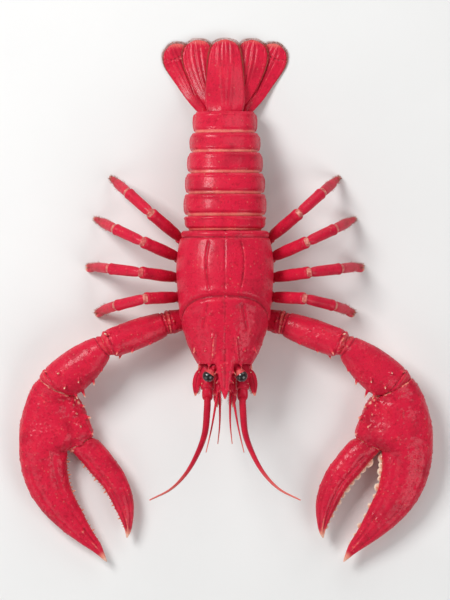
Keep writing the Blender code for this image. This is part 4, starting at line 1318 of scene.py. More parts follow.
# x, y, half width, half thickness, height above the palm's middle
HAND = (
    (0.1551, -0.0794, 0.0165, 0.0112, 0.0100),
    (0.1572, -0.0862, 0.0218, 0.0140, 0.0068),
    (0.1570, -0.0943, 0.0270, 0.0170, 0.0038),
    (0.1563, -0.1082, 0.0320, 0.0192, 0.0000),
    (0.1548, -0.1253, 0.0355, 0.0200, 0.0000),
    (0.1663, -0.1380, 0.0233, 0.0172, 0.0000),
    (0.1649, -0.1546, 0.0220, 0.0152, -0.0008),
    (0.1608, -0.1693, 0.0202, 0.0133, -0.0014),
    (0.1526, -0.1859, 0.0172, 0.0115, -0.0020),
    (0.1404, -0.2019, 0.0134, 0.0096, -0.0026),
    (0.1275, -0.2167, 0.0088, 0.0072, -0.0032),
    (0.1165, -0.2283, 0.0048, 0.0045, -0.0036),
    (0.1082, -REACH, 0.0007, 0.0008, -0.0040),
)
FINGER = (
    (0.1308, -0.1320, 0.0122, 0.0112, 0.0000),
    (0.1216, -0.1402, 0.0132, 0.0116, -0.0002),
    (0.1118, -0.1521, 0.0131, 0.0110, -0.0006),
    (0.1028, -0.1635, 0.0123, 0.0100, -0.0012),
    (0.0960, -0.1767, 0.0111, 0.0089, -0.0018),
    (0.0916, -0.1898, 0.0091, 0.0074, -0.0024),
    (0.0894, -0.2019, 0.0058, 0.0053, -0.0028),
    (0.0887, -0.2115, 0.0031, 0.0031, -0.0032),
    (0.0898, -0.2183, 0.0006, 0.0007, -0.0036),
)
HINGE_ROW = 4
CLAW_POWERS = (2.2, 2.2)
CLAW_LEVEL = 0.0185
# Depth in the palm, share of the finger's half width, half thickness
SOCKET = ((0.0240, 0.80, 0.0120), (0.0080, 1.02, 0.0148), (0.0, 0.97, 0.0128))
# Factors for width and thickness
CLAW_BUILD = {"left": (1.0, 1.0), "right": (0.95, 0.86)}
# Place along the rings, angle, length
UPPER_ARM_SPINES = (
    (3.6, 0.9, 0.0062), (3.7, 2.2, 0.0062), (2.6, 0.5, 0.0042), (3.5, 5.9, 0.0050),
    (1.7, 0.45, 0.0026),
)
FOREARM_SPINES = (
    (2.2, 0.25, 0.0052), (3.0, 0.15, 0.0072), (3.7, 0.45, 0.0062), (2.6, 1.10, 0.0050),
    (3.5, 1.30, 0.0050), (3.6, 2.50, 0.0042), (1.4, 0.35, 0.0030), (3.0, 1.95, 0.0030),
)
PALM_SPINES = (
    (0.8, 0.35, 0.0026), (1.3, 0.35, 0.0040), (2.1, 0.35, 0.0050), (3.0, 0.35, 0.0054),
    (3.8, 0.35, 0.0044), (2.6, 0.80, 0.0022), (3.4, 0.80, 0.0022), (1.7, 0.75, 0.0020),
)

# %% One length of a limb
CUFF_FOLDS = 14
CUFF_LENGTH = 0.0030


def mitre(before, joint, after):
    """The way that the shared plane of a joint faces."""
    return ((joint - before).normalized() + (after - joint).normalized()).normalized()


def limb_rings(start, end, leaving, arriving, rows, count, gap=GAP):
    """Rings from one joint's plane to the next."""
    leaving, arriving = leaving.normalized(), arriving.normalized()
    start, end = start + leaving * gap / 2, end - arriving * gap / 2
    axis = (end - start).normalized()
    rings = []
    for share, wide, thick in finer(rows, count):
        facing = leaving * (1 - share) ** 3 + axis * 3 * share * (1 - share) + arriving * share**3
        rings.append(Ring(start.lerp(end, min(max(share, 0), 1)), facing, wide, thick))
    return rings


def joint_cuff(name, joint, facing, wide, thick):
    """The soft folded skin between two lengths of a limb."""
    rings = []
    for k in range(CUFF_FOLDS + 1):
        share = k / CUFF_FOLDS - 0.5
        size = 1.0 - 0.10 * (2 * share) ** 2 + 0.035 * math.sin(k * 1.9)
        place = joint + facing * (share * CUFF_LENGTH)
        rings.append(Ring(place, facing, wide * size, thick * size))
    return finished(loft(name, rings, 28), joint_skin, "shell")


def knuckle(place, radius):
    """A rounded knob on which a joint turns."""
    return ball(radius, place, (1.15, 0.85, 0.62))


# %% Arms
ARM_VOXEL = 0.00055
ARM_GRANULES = 110
KNUCKLE = 0.0036
KNUCKLE_BACK = 0.0024


def arm_length(name, rings, rows, spine_rows, lean):
    """One length of the arm, with its spines and the knuckles at its far end."""
    shares = np.linspace(0, 1, len(rows))
    coarse_rings = [rings[round(share * (len(rings) - 1))] for share in shares]
    spines = spines_along(coarse_rings, spine_rows, lean)
    rim = rings[-1]
    knuckles = [
        knuckle(rim.centre - rim.facing * KNUCKLE_BACK + rim.up * (rim.rise * side), KNUCKLE)
        for side in (0.93, -0.93)
    ]
    piece = joined(name, [loft(name, rings, 40), *[spine.mesh() for spine in spines], *knuckles])
    one_skin(piece, ARM_VOXEL, 3)
    start, end = np.array(rings[0].centre), np.array(rings[-1].centre)
    length = np.linalg.norm(end - start)
    axis = (end - start) / length

    def relief(places, ways):
        along = (places - start) @ axis
        left = length - along
        return bells(
            (-0.0007, along - 0.0028, 0.0009), (0.0004, along - 0.0012, 0.0010),
            (-0.0006, left - 0.0034, 0.0010), (0.0005, left - 0.0014, 0.0012),
        )

    def above(places, ways):
        return slope(ways[:, 2], -0.3, 0.5)

    def rim_pale(places, ways):
        along = (places - start) @ axis
        return 0.30 * bell(np.minimum(along, length - along), 0.0016)

    push(piece, relief)
    uneven(piece, 0.009, 0.0004)
    granulate(piece, ARM_GRANULES, 0.0010, 0.00035, above, 5)
    return weather(piece, spines, pale=rim_pale)


def arm(side):
    """The arm of one side. Returns the wrist and the way that its plane faces."""
    wrist = Vector((*HAND[0][:2], WRIST_LEVEL[side]))
    palm_axis = Vector((*HAND[2][:2], 0)) - Vector((*HAND[0][:2], 0))
    bend = mitre(ARM_ROOT, ARM_BEND, ARM_KNEE)
    knee = mitre(ARM_BEND, ARM_KNEE, ARM_ELBOW)
    elbow = mitre(ARM_KNEE, ARM_ELBOW, wrist)
    wrist_facing = mitre(ARM_ELBOW, wrist, wrist + palm_axis + UP * WRIST_DROP)
    root = ARM_ROOT - OUTWARD * GAP / 2
    base = limb_rings(root, ARM_BEND, OUTWARD, bend, ARM_BASE, 12, gap=0.0)
    base += limb_rings(ARM_BEND, ARM_KNEE, bend, knee, LOWER_ARM, 22)[1:]
    upper = limb_rings(ARM_KNEE, ARM_ELBOW, knee, elbow, UPPER_ARM, 34)
    forearm = limb_rings(ARM_ELBOW, wrist, elbow, wrist_facing, FOREARM, 34)
    pieces = [
        arm_length(f"arm_base_{side}", base, LOWER_ARM, (), 0.0),
        arm_length(f"arm_upper_{side}", upper, UPPER_ARM, UPPER_ARM_SPINES, 0.8),
        arm_length(f"forearm_{side}", forearm, FOREARM, FOREARM_SPINES, 0.5),
    ]
    cuffs = (
        ("knee", ARM_KNEE, knee, 0.0088, 0.0072),
        ("elbow", ARM_ELBOW, elbow, 0.0094, 0.0084),
        ("wrist", wrist, wrist_facing, 0.0150, 0.0104),
    )
    skins = [joint_cuff(f"{name}_skin_{side}", *cuff) for name, *cuff in cuffs]
    for piece, node in zip(pieces, ("arm_base", "arm_merus", "arm_carpus")):
        finished(to_side(piece, side), limb_shell, "shell", f"{node}_{side}")
    for piece in skins:
        to_side(piece, side)
    return wrist, wrist_facing


def to_side(piece, side):
    """Leaves a piece on the left, or turns it over to the right."""
    return turned_over(piece) if side == "right" else piece


# %% [markdown]
# The claw's rings follow its bent middle line. At the finger's hinge the palm is cut off square,
# so the rings there are made to face straight ahead. The socket is a short thick loft that reaches
# from inside the palm to the hinge.

# %% Claw rings


def claw_ring(centre, facing, wide, rise):
    """A ring with the claw's rounded section."""
    return Ring(centre, facing, wide, rise, powers=CLAW_POWERS)


def hand_rings(rows, side, facings, counts):
    """Fine rings through the rows, and coarse ones. counts gives the rings for each stretch."""
    wide_factor, thick_factor = CLAW_BUILD[side]
    level = CLAW_LEVEL * thick_factor
    centres = [Vector((x, y, level + lift)) for x, y, _, _, lift in rows]
    table = []
    for k, (_, _, wide, thick, _) in enumerate(rows):
        facing = centres[min(k + 1, len(rows) - 1)] - centres[max(k - 1, 0)]
        facing = facings.get(k, facing).normalized()
        table.append((*centres[k], *facing, wide * wide_factor, thick * thick_factor))
    rows = [row for first, last, count in counts for row in finer(table[first : last + 1], count)]
    return [
        [claw_ring(row[:3], row[3:6], row[6], row[7]) for row in some] for some in (rows, table)
    ]


def turn_first(rings, count, facing, shift, widening):
    """Turns, moves and widens a claw's first rings, more and more towards the joint."""
    for k in range(1, count):
        share, ring = 1 - k / count, rings[k]
        wide = ring.wide + (rings[0].wide - ring.wide) * share * widening
        turned = ring.facing.lerp(facing, share)
        rings[k] = claw_ring(ring.centre + shift * share, turned, wide, ring.rise)


def finger_seat(palm):
    """The middle of the finger's hinge, the way it faces and half its width."""
    near, far = palm[HINGE_ROW], palm[HINGE_ROW + 1]
    inner = near.centre + near.across * near.wide
    outer = far.centre + far.across * far.wide
    along = outer - inner
    return (inner + outer) / 2, along.cross(UP).normalized(), along.length / 2


# %% [markdown]
# The teeth of the crushing claw are low knobs of uneven size in one row, and those of the cutting
# claw are small sharp cones with a large one here and there. They are harder and paler than the
# shell, so they are pieces of their own, sunk in the fingers' edges.

# %% Teeth
MOLARS = 11
MOLAR_SUNK = 0.45
SHARP_TEETH = 21


def molar(root, out, ahead, radius, length):
    """A worn knob of the crushing claw, longer along the finger than across it."""
    return ball(
        radius, root, ((length + radius * MOLAR_SUNK) / radius, 1.18, 0.88), orient_type="GLOBAL",
        orient_matrix_type="GLOBAL",
        orient_matrix=axes(Matrix((out, ahead, out.cross(ahead))).transposed()),
    )


def sharp_tooth(root, out, ahead, radius, length):
    """A small cone of the cutting claw with a rounded edge."""
    tooth = cone("tooth", root, out + ahead * 0.15, length, radius, 0.16, 12)
    return modify(tooth, "BEVEL", width=0.00012, segments=2, limit_method="ANGLE")


def tooth_row(name, rings, first, last, angle, side, seed):
    """A row of teeth along one edge of a finger, as one mesh."""
    random.seed(seed)
    blunt = side == "left"
    count = MOLARS if blunt else SHARP_TEETH
    teeth, roots = [], []
    for k in range(count):
        share = k / (count - 1)
        at = first + (last - first) * share
        root, out = surface(rings, at, angle)
        fade = 1.0 - 0.60 * share
        if blunt:
            radius = (0.0047 if k % 2 == 0 else 0.0037) * fade * random.uniform(0.9, 1.1)
            length = radius * random.uniform(0.70, 0.95)
        else:
            big = k % 4 == 1
            radius = (0.0017 if big else 0.0010) * (0.6 + 0.4 * fade) * random.uniform(0.9, 1.1)
            length = (0.0036 if big else 0.0017) * (0.55 + 0.45 * fade) * random.uniform(0.85, 1.1)
        ahead = rings[min(int(at), len(rings) - 1)].facing
        root = root - out * radius * (MOLAR_SUNK if blunt else 0.2)
        teeth.append((molar if blunt else sharp_tooth)(root, out, ahead, radius, length))
        roots.append((root, length + radius))
    row = joined(name, teeth)
    if not blunt:
        subdivide(row)
    places = points_of(row)
    nearest = np.min([away_from(places, root) / size for root, size in roots], axis=0)
    paint(row, "root", 1 - slope(nearest, 0.45, 0.95))
    uneven(row, 0.004 if blunt else 0.002, 0.0005 if blunt else 0.0002)
    return row


# %% Claws
CLAW_SPINE_BLUNT = 0.4
PALM_RINGS = 34
FIXED_RINGS = 52
FINGER_RINGS = 54
HAND_VOXEL = 0.00085
FINGER_VOXEL = 0.0007
PALM_TURN = 6
FINGER_TURN = 5
SKIN_FOLDS = 12


def claw_relief(rings, inner_sign):
    """Furrows and ridges that follow the claw's middle line on both faces."""
    line = centres_of(rings)[:, :2]
    wides = np.array([ring.wide for ring in rings])

    def relief(places, ways):
        nearest = nearest_on(line, places[:, :2])
        ahead, behind = np.minimum(nearest + 1, len(line) - 1), np.maximum(nearest - 1, 0)
        step = unit(line[ahead] - line[behind])
        away = places[:, :2] - line[nearest]
        aside = (step[:, 0] * away[:, 1] - step[:, 1] * away[:, 0]) / wides[nearest]
        along = nearest / (len(line) - 1)
        above = slope(np.abs(ways[:, 2]), 0.25, 0.65)
        body = slope(along, 0.04, 0.14) * (1 - slope(along, 0.86, 0.97))
        inner = aside * inner_sign
        depth = bells((-0.0008, inner - 0.45, 0.13), (0.0006, inner - 0.05, 0.20))
        depth -= 0.0007 * bell(inner + 0.52, 0.12) * slope(along, 0.35, 0.5)
        return depth * above * body

    return relief


def tip_pale(tip, reach):
    """A mask that is pale at a finger's tip."""
    return lambda places, ways: 0.9 * (1 - slope(away_from(places, tip), 0.003, reach))


def upper_granules(piece, count, radius, height, front, seed):
    """Granules on the upper face of a claw, fewer towards its tip."""

    def above(places, ways):
        return slope(ways[:, 2], -0.4, 0.4) * slope(places[:, 1], front, -0.150)

    granulate(piece, count, radius, height, above, seed)
    rest_flat(piece)


def palm_with_finger(side, wrist, wrist_facing):
    """The shell of palm and fixed finger, its coarse rings and the moving finger's seat."""
    facings = {HINGE_ROW: FORWARD, HINGE_ROW + 1: FORWARD}
    stretches = ((0, HINGE_ROW + 1, PALM_RINGS), (HINGE_ROW + 1, len(HAND) - 1, FIXED_RINGS))
    rings, coarse = hand_rings(HAND, side, facings, stretches)
    palm, fixed = rings[:PALM_RINGS], rings[PALM_RINGS:]
    palm[0] = claw_ring(wrist + wrist_facing * GAP / 2, wrist_facing, palm[0].wide, palm[0].rise)
    coarse[0] = palm[0]
    thick_factor = CLAW_BUILD[side][1]
    shift = palm[0].centre - Vector((*HAND[0][:2], CLAW_LEVEL * thick_factor + HAND[0][4]))
    turn_first(palm, PALM_TURN, wrist_facing, shift, 0.0)
    seat, hinge, room = finger_seat(coarse)
    socket = [
        claw_ring(seat - hinge * depth, hinge, room * wide, thick * thick_factor)
        for depth, wide, thick in finer(SOCKET, 10)
    ]
    into = fixed[0]
    fixed = [claw_ring(into.centre - FORWARD * 0.002, FORWARD, into.wide, into.rise), *fixed]
    spines = spines_along(coarse[:6], PALM_SPINES, 0.3, radius=0.0025, blunt=CLAW_SPINE_BLUNT)
    pieces = [loft("palm", palm, 64), loft("socket", socket, 40), loft("fixed", fixed, 56)]
    for lift in (1, -1):
        place = seat - hinge * 0.0012 + UP * (0.0110 * thick_factor * lift)
        pieces.append(knuckle(place, 0.0042))
    hand = joined(f"claw_{side}", pieces + [spine.mesh() for spine in spines])
    one_skin(hand, HAND_VOXEL, 4)
    push(hand, claw_relief(palm + fixed[1:], -1))
    uneven(hand, 0.020, 0.0010)
    uneven(hand, 0.006, 0.0003)
    upper_granules(hand, 420, 0.0013, 0.00050, -0.235, 6)
    weather(hand, spines, pale=tip_pale(fixed[-1].centre, 0.016))
    return hand, coarse, (seat, hinge, room)


def moving_finger(side, seat, hinge, room):
    """The moving finger and its coarse rings, from its seat on the palm."""
    finger, coarse = hand_rings(FINGER, side, {}, ((0, len(FINGER) - 1, FINGER_RINGS),))
    finger[0] = claw_ring(seat + hinge * GAP, hinge, room * 0.90, finger[0].rise)
    coarse[0] = finger[0]
    turn_first(finger, FINGER_TURN, hinge, Vector(), 0.5)
    mover = loft(f"claw_finger_{side}", finger, 48)
    one_skin(mover, FINGER_VOXEL, 3)
    push(mover, claw_relief(finger, 1))
    uneven(mover, 0.010, 0.0005)
    upper_granules(mover, 110, 0.0011, 0.00040, -0.205, 7)
    weather(mover, pale=tip_pale(finger[-1].centre, 0.014))
    return mover, coarse


def hinge_skin(side, seat, hinge, room, rise):
    """The folded skin between palm and moving finger."""
    rings = []
    for k in range(SKIN_FOLDS + 1):
        out = abs(2 * k - SKIN_FOLDS) / SKIN_FOLDS
        wide = 0.90 - 0.05 * out + 0.012 * (k % 2)
        tall = 0.95 - 0.06 * out + 0.015 * (k % 2)
        place = seat + hinge * (-0.003 + 0.0065 * k / SKIN_FOLDS)
        rings.append(claw_ring(place, hinge, room * wide, rise * tall))
    return loft(f"hinge_skin_{side}", rings, 36)


def claw(side, wrist, wrist_facing):
    """The claw of one side: palm with fixed finger, moving finger, teeth and the hinge's skin."""
    hand, coarse, finger_place = palm_with_finger(side, wrist, wrist_facing)
    mover, finger_coarse = moving_finger(side, *finger_place)
    root = coarse[5]
    fixed_coarse = [
        claw_ring(root.centre + FORWARD * GAP, FORWARD, root.wide, root.rise), *coarse[6:],
    ]
    last_fixed, last_moving = len(fixed_coarse) - 2.2, len(finger_coarse) - 2.4
    lower = tooth_row(f"claw_teeth_fixed_{side}", fixed_coarse, 0.5, last_fixed, 0.0, side, 11)
    upper = tooth_row(
        f"claw_teeth_finger_{side}", finger_coarse, 1.0, last_moving, math.pi, side, 12,
    )
    skin = hinge_skin(side, *finger_place, finger_coarse[0].rise)
    for piece, material, nodes in (
        (hand, claw_shell, (f"claw_palm_{side}", f"claw_fixed_finger_{side}")),
        (mover, claw_shell, (f"claw_finger_{side}",)),
        (lower, tooth_ivory, ()),
        (upper, tooth_ivory, ()),
        (skin, joint_skin, ()),
    ):
        finished(to_side(piece, side), material, "claw", *nodes)


for side in ("left", "right"):
    claw(side, *arm(side))

# %% [markdown]
# ## Walking legs
#
# Four slender legs stand on each side. Each has six lengths. Every length starts narrow inside the
# flared end of the one before it, swells a little and flares at its own end. The first two pairs
# end in small pincers and the last two in a single claw. The left legs are modelled and mirrored.
# Tufts of short hairs grow near the toes, where the animal feels its way.

# %% Leg sizes
# The hip's y, the knee, the ankle, the foot, and whether the leg ends in a pincer
LEGS = (
    (0.0030, (0.0720, 0.0010, 0.0560), (0.0985, -0.0055, 0.0390), (0.1200, -0.0120, -0.0012), True),
    (0.0180, (0.0760, 0.0245, 0.0580), (0.1045, 0.0280, 0.0400), (0.1280, 0.0310, -0.0012), True),
    (0.0325, (0.0740, 0.0520, 0.0560), (0.0995, 0.0640, 0.0390), (0.1210, 0.0750, -0.0012), False),
    (0.0465, (0.0670, 0.0780, 0.0520), (0.0880, 0.0970, 0.0360), (0.1060, 0.1130, -0.0012), False),
)
LEG_BEND = (0.0335, 0.0195)
LEG_BOW = 0.0014
# The stretch (hip to bend, to knee, to ankle, to foot), share of it, half width, half thickness
LEG_SIZES = (
    (0, 0.0, 0.0058, 0.0052), (0, 1.0, 0.0054, 0.0048),
    (1, 0.0, 0.0048, 0.0046), (1, 0.12, 0.0056, 0.0050), (1, 0.24, 0.0050, 0.0046),
    (1, 0.55, 0.0057, 0.0049), (1, 1.0, 0.0053, 0.0045),
    (2, 0.0, 0.0044, 0.0038), (2, 0.2, 0.0050, 0.0044), (2, 1.0, 0.0051, 0.0045),
    (3, 0.0, 0.0042, 0.0037), (3, 0.12, 0.0048, 0.0040), (3, 0.50, 0.0046, 0.0036),
    (3, 0.62, 0.0036, 0.0029), (3, 0.82, 0.0026, 0.0021), (3, 1.0, 0.0009, 0.0009),
)
# Lengths of the upper and of the lower half: stretch, where each starts and ends on it
UPPER_LENGTHS = ((0, 0.0, 1.02), (1, -0.03, 0.245), (1, 0.215, 1.0))
LOWER_LENGTHS = ((2, -0.03, 1.0), (3, -0.05, 0.63), (3, 0.58, 1.0))
# Share of a length, factor for its size
LENGTH_PROFILE = (
    (0.0, 0.60), (0.02, 0.76), (0.07, 0.84), (0.17, 0.97), (0.5, 1.0), (0.84, 1.0), (0.92, 1.06),
    (0.965, 1.08), (0.99, 1.0), (1.0, 0.82),
)
# Share of the way to the foot, spread, half width, half thickness
THUMB = (
    (0.0, 0.3, 0.0024, 0.0022), (0.35, 1.0, 0.0024, 0.0020), (0.75, 1.3, 0.0017, 0.0014),
    (0.93, 0.9, 0.0008, 0.0008),
)
THUMB_SPREAD = 0.0028
TOE_SHARE = 0.62
LEG_HAIRS = 230
LEG_SKIN_FOLDS = 10
LEG_SKIN_LENGTH = 0.0042

# %% A leg's lengths


def leg_size(stretch, share):
    """Half width and half thickness of a leg at a place on one of its stretches."""
    rows = [row[1:] for row in LEG_SIZES if row[0] == stretch]
    shares, wides, thicks = zip(*rows)
    return np.interp(share, shares, wides), np.interp(share, shares, thicks)


def leg_length(name, joints, stretch, first, last, ends_in_point):
    """One length of a leg as a closed loft."""
    start, end = joints[stretch], joints[stretch + 1]
    profile = np.array(LENGTH_PROFILE)
    shares = np.unique(np.concatenate([np.linspace(0, 1, 15), profile[:, 0]]))
    rings = []
    for share in shares:
        at = first + (last - first) * share
        bow = LEG_BOW * 4 * at * (1 - at) if stretch == 1 else 0.0
        wide, thick = leg_size(stretch, at)
        form = np.interp(share, *profile.T)
        if ends_in_point and share > 0.8:
            form = 1.0 - 0.35 * (share - 0.8) / 0.2
        place = start + (end - start) * at + UP * bow
        rings.append(Ring(place, end - start, wide * form, thick * form))
    return subdivide(loft(name, rings, 18))


def leg_half(number, half, lengths, joints, has_pincer):
    """The shells of the upper or the lower half of a left leg, and the toe's tips."""
    name = f"leg_{number}_{half}_left"
    pieces = []
    tips = [joints[4]]
    for stretch, first, last in lengths:
        to_point = stretch == 3 and last == 1.0
        pieces.append(leg_length(name, joints, stretch, first, last, to_point))
    if half == "lower" and has_pincer:
        toe, foot = joints[3].lerp(joints[4], TOE_SHARE), joints[4]
        along = (foot - toe).normalized()
        aside = along.cross(UP).normalized()
        start = toe - along * THUMB_SPREAD
        rings = [
            Ring(start.lerp(foot, share) + aside * (THUMB_SPREAD * spread), along, wide, thick)
            for share, spread, wide, thick in finer(THUMB, 18)
        ]
        pieces.append(subdivide(loft("thumb", rings, 14)))
        tips.append(rings[-1].centre)
    piece = joined(name, pieces)
    uneven(piece, 0.006, 0.00035)
    rest_flat(piece)

    def toe_pale(places, ways):
        near = np.min([away_from(places, tip) for tip in tips], axis=0)
        light = [0.32 * bell(away_from(places, joint), 0.006) for joint in joints[1:4]]
        return np.max([0.85 * (1 - slope(near, 0.002, 0.010)), *light], axis=0)

    return weather(piece, pale=toe_pale, wear=4.0)


def leg_hairs(number, joints):
    """Tufts near the toes and a sparse row along the leg's last lengths."""
    rng = np.random.default_rng(40 + number)
    ankle, foot = joints[3], joints[4]
    axis = (foot - ankle).normalized()
    across = axis.cross(UP).normalized()
    other = axis.cross(across)
    roots, ways, lengths, spots = [], [], [], []
    for _ in range(LEG_HAIRS):
        share = 0.20 + 0.72 * math.sqrt(rng.random())
        angle = rng.random() * math.tau
        wide, thick = leg_size(3, share)
        out = across * math.cos(angle) * wide + other * math.sin(angle) * thick
        root = ankle.lerp(foot, share) + out * 0.96
        if root.z < 0.0008:
            continue
        roots.append(tuple(root))
        ways.append(tuple(out.normalized() * 0.8 + axis * 0.9))
        lengths.append(0.0022 + 0.0012 * rng.random())
        spots.append((share * 0.95, angle / math.tau * 0.95))
    return hair_row(f"leg_{number}_hairs_left", roots, ways, lengths, spots, number)


def leg(number):
    """A walking leg on both sides."""
    hip_y, knee, ankle, foot, has_pincer = LEGS[number - 2]
    hip = Vector((CHEST_HALF_WIDTH + GAP, hip_y, HIP_HEIGHT))
    bend = Vector((LEG_BEND[0], hip_y + 0.1 * (knee[1] - hip_y), LEG_BEND[1]))
    joints = [hip, bend, Vector(knee), Vector(ankle), Vector(foot)]
    for half, lengths in (("upper", UPPER_LENGTHS), ("lower", LOWER_LENGTHS)):
        piece = leg_half(number, half, lengths, joints, has_pincer)
        both_sides(piece, limb_shell, "shell", f"leg_{number}_{half}")
    skins = []
    for k in (1, 2, 3):
        facing = mitre(joints[k - 1], joints[k], joints[k + 1])
        wide, thick = leg_size(k, 0.0)
        rings = []
        for j in range(LEG_SKIN_FOLDS + 1):
            place = joints[k] + facing * (LEG_SKIN_LENGTH * (j / LEG_SKIN_FOLDS - 0.5))
            size = 0.93 + 0.03 * (j % 2)
            rings.append(Ring(place, facing, wide * size, thick * size))
        skins.append(loft("skin", rings, 18))
    skin = joined(f"leg_{number}_skin_left", skins)
    both_sides(skin, joint_skin, "shell")
    both_sides(leg_hairs(number, joints), hair_rust, "shell")


for number in range(2, 6):
    leg(number)

# %% [markdown]
# ## Eyes
#
# Each eye is a black ball on a short movable stalk beside the beak. The stalk is a loft that ends
# in a cup with a thin rim, and the ball sits in the cup. The ball is a sphere, pressed a little
# lower, since a lobster's eye is not quite round.

# %% Eyes on stalks
FRONT_Y = -0.058
EYE_RADIUS = 0.0053
EYE_CENTRE = Vector((0.0150, -0.0688, 0.0645))
STALK_ROOT = Vector((0.0085, FRONT_Y - GAP, 0.0622))
eye_way = (EYE_CENTRE - STALK_ROOT).normalized()
cup = EYE_CENTRE - eye_way * 0.0021
# Share of the stalk, radius
stalk_rows = (
    (-0.42, 0.0034), (0.00, 0.0034), (0.12, 0.0034), (0.30, 0.0031),
    (0.50, 0.0034), (0.72, 0.0043), (0.90, 0.0048),
    (1.00, 0.0051), (1.03, 0.0050), (1.03, 0.0046), (0.95, 0.0043), (0.92, 0.0020),
)
stalk = loft(
    "eyestalk_left",
    [
        Ring(STALK_ROOT + (cup - STALK_ROOT) * share, eye_way, wide, wide)
        for share, wide in stalk_rows
    ],
    32,
)
subdivide(stalk, 2)
uneven(stalk, 0.003, 0.0002)
weather(stalk, pale=lambda places, ways: 0.35 * bell(away_from(places, cup) - 0.005, 0.0008))
turn = eye_way.to_track_quat("Z", "Y").to_euler()
eye = ball(EYE_RADIUS, EYE_CENTRE, (1.0, 1.0, 0.96), 48, 32, turn)
eye.name = "eye_left"
both_sides(stalk, shell, "shell", "eyestalk")
both_sides(eye, eye_black, "eye", "eye")

# %% [markdown]
# ## Feelers
#
# Two long feelers are whips on a jointed base with a flat scale beside it, and between them stand
# two short forked ones. A whip is made of hundreds of rings. Extruding them one by one would take
# a very long mesh tool, so a whip is a curve with a round bevel whose radius swells and shrinks
# from point to point. It becomes a mesh at the end, with a mask that runs along it for the colour.

# %% Feeler sizes
FEELER_ROOT = Vector((0.0158, FRONT_Y - GAP, 0.0490))
FEELER_BASE_END = Vector((0.0158, -0.0900, 0.0510))
WHIP_PATH = (
    FEELER_BASE_END, Vector((0.0162, -0.1005, 0.0610)), Vector((0.0180, -0.1190, 0.0900)),
    Vector((0.0240, -0.1350, 0.1280)), Vector((0.0335, -0.1505, 0.1680)),
    Vector((0.0465, -0.1625, 0.2020)), Vector((0.0640, -0.1705, 0.2240)),
)
WHIP_RADII = (0.0031, 0.0006)
WHIP_TAPER = 1.3
RING_PITCH = 0.0016
RING_SWELLING = 0.055
# Share of the length, half width, half thickness
FEELER_BASE = (
    (0.0, 0.0066, 0.0068), (0.06, 0.0071, 0.0073), (0.20, 0.0072, 0.0074),
    (0.36, 0.0070, 0.0072), (0.395, 0.0064, 0.0066),
    (0.42, 0.0056, 0.0058), (0.45, 0.0060, 0.0062), (0.56, 0.0062, 0.0064),
    (0.69, 0.0061, 0.0063), (0.72, 0.0055, 0.0057),
    (0.745, 0.0044, 0.0046), (0.775, 0.0049, 0.0051), (0.86, 0.0050, 0.0052),
    (0.95, 0.0048, 0.0050), (1.0, 0.0037, 0.0037),
)
# Place along the rings, angle, length
FEELER_SPINES = ((1.9, 2.6, 0.0036), (6.6, 2.3, 0.0034), (1.9, 0.6, 0.0036), (2.6, 1.5, 0.0022))
SCALE_LEVEL = 0.0495
# x, y, half width, half thickness
SCALE = (
    (0.0200, -0.0605, 0.0022, 0.0030),
    (0.0232, -0.0670, 0.0042, 0.0014),
    (0.0252, -0.0750, 0.0042, 0.0011),
    (0.0262, -0.0820, 0.0026, 0.0009),
    (0.0268, -0.0870, 0.0007, 0.0006),
)
FORK_ROOT = Vector((0.0046, FRONT_Y - GAP, 0.0560))
FORK_END = Vector((0.0058, -0.0840, 0.0575))
FORK_STEM = (
    (0.0, 0.0029, 0.0029), (0.15, 0.0032, 0.0032), (0.31, 0.0031, 0.0031),
    (0.355, 0.0023, 0.0023), (0.40, 0.0028, 0.0028),
    (0.52, 0.0028, 0.0028), (0.66, 0.0027, 0.0027), (0.70, 0.0019, 0.0019),
    (0.75, 0.0025, 0.0025), (0.9, 0.0024, 0.0024), (1.0, 0.0018, 0.0018),
)
FORK_BRANCHES = (
    (
        (0.0066, -0.0825, 0.0578), (0.0085, -0.0950, 0.0620), (0.0120, -0.1150, 0.0710),
        (0.0170, -0.1370, 0.0760),
    ),
    (
        (0.0050, -0.0825, 0.0565), (0.0046, -0.0960, 0.0570), (0.0048, -0.1130, 0.0600),
        (0.0065, -0.1300, 0.0620),
    ),
)
FORK_RADII = (0.0013, 0.0004)
FEELER_STANDS_IN = 0.0045
FEELER_VOXEL = 0.00038
BASE_RINGS = 60
COARSE_BASE_RINGS = 15
SCALE_HAIR = 0.0026
SCALE_HAIR_SPACING = 0.00022

# %% Ringed whips


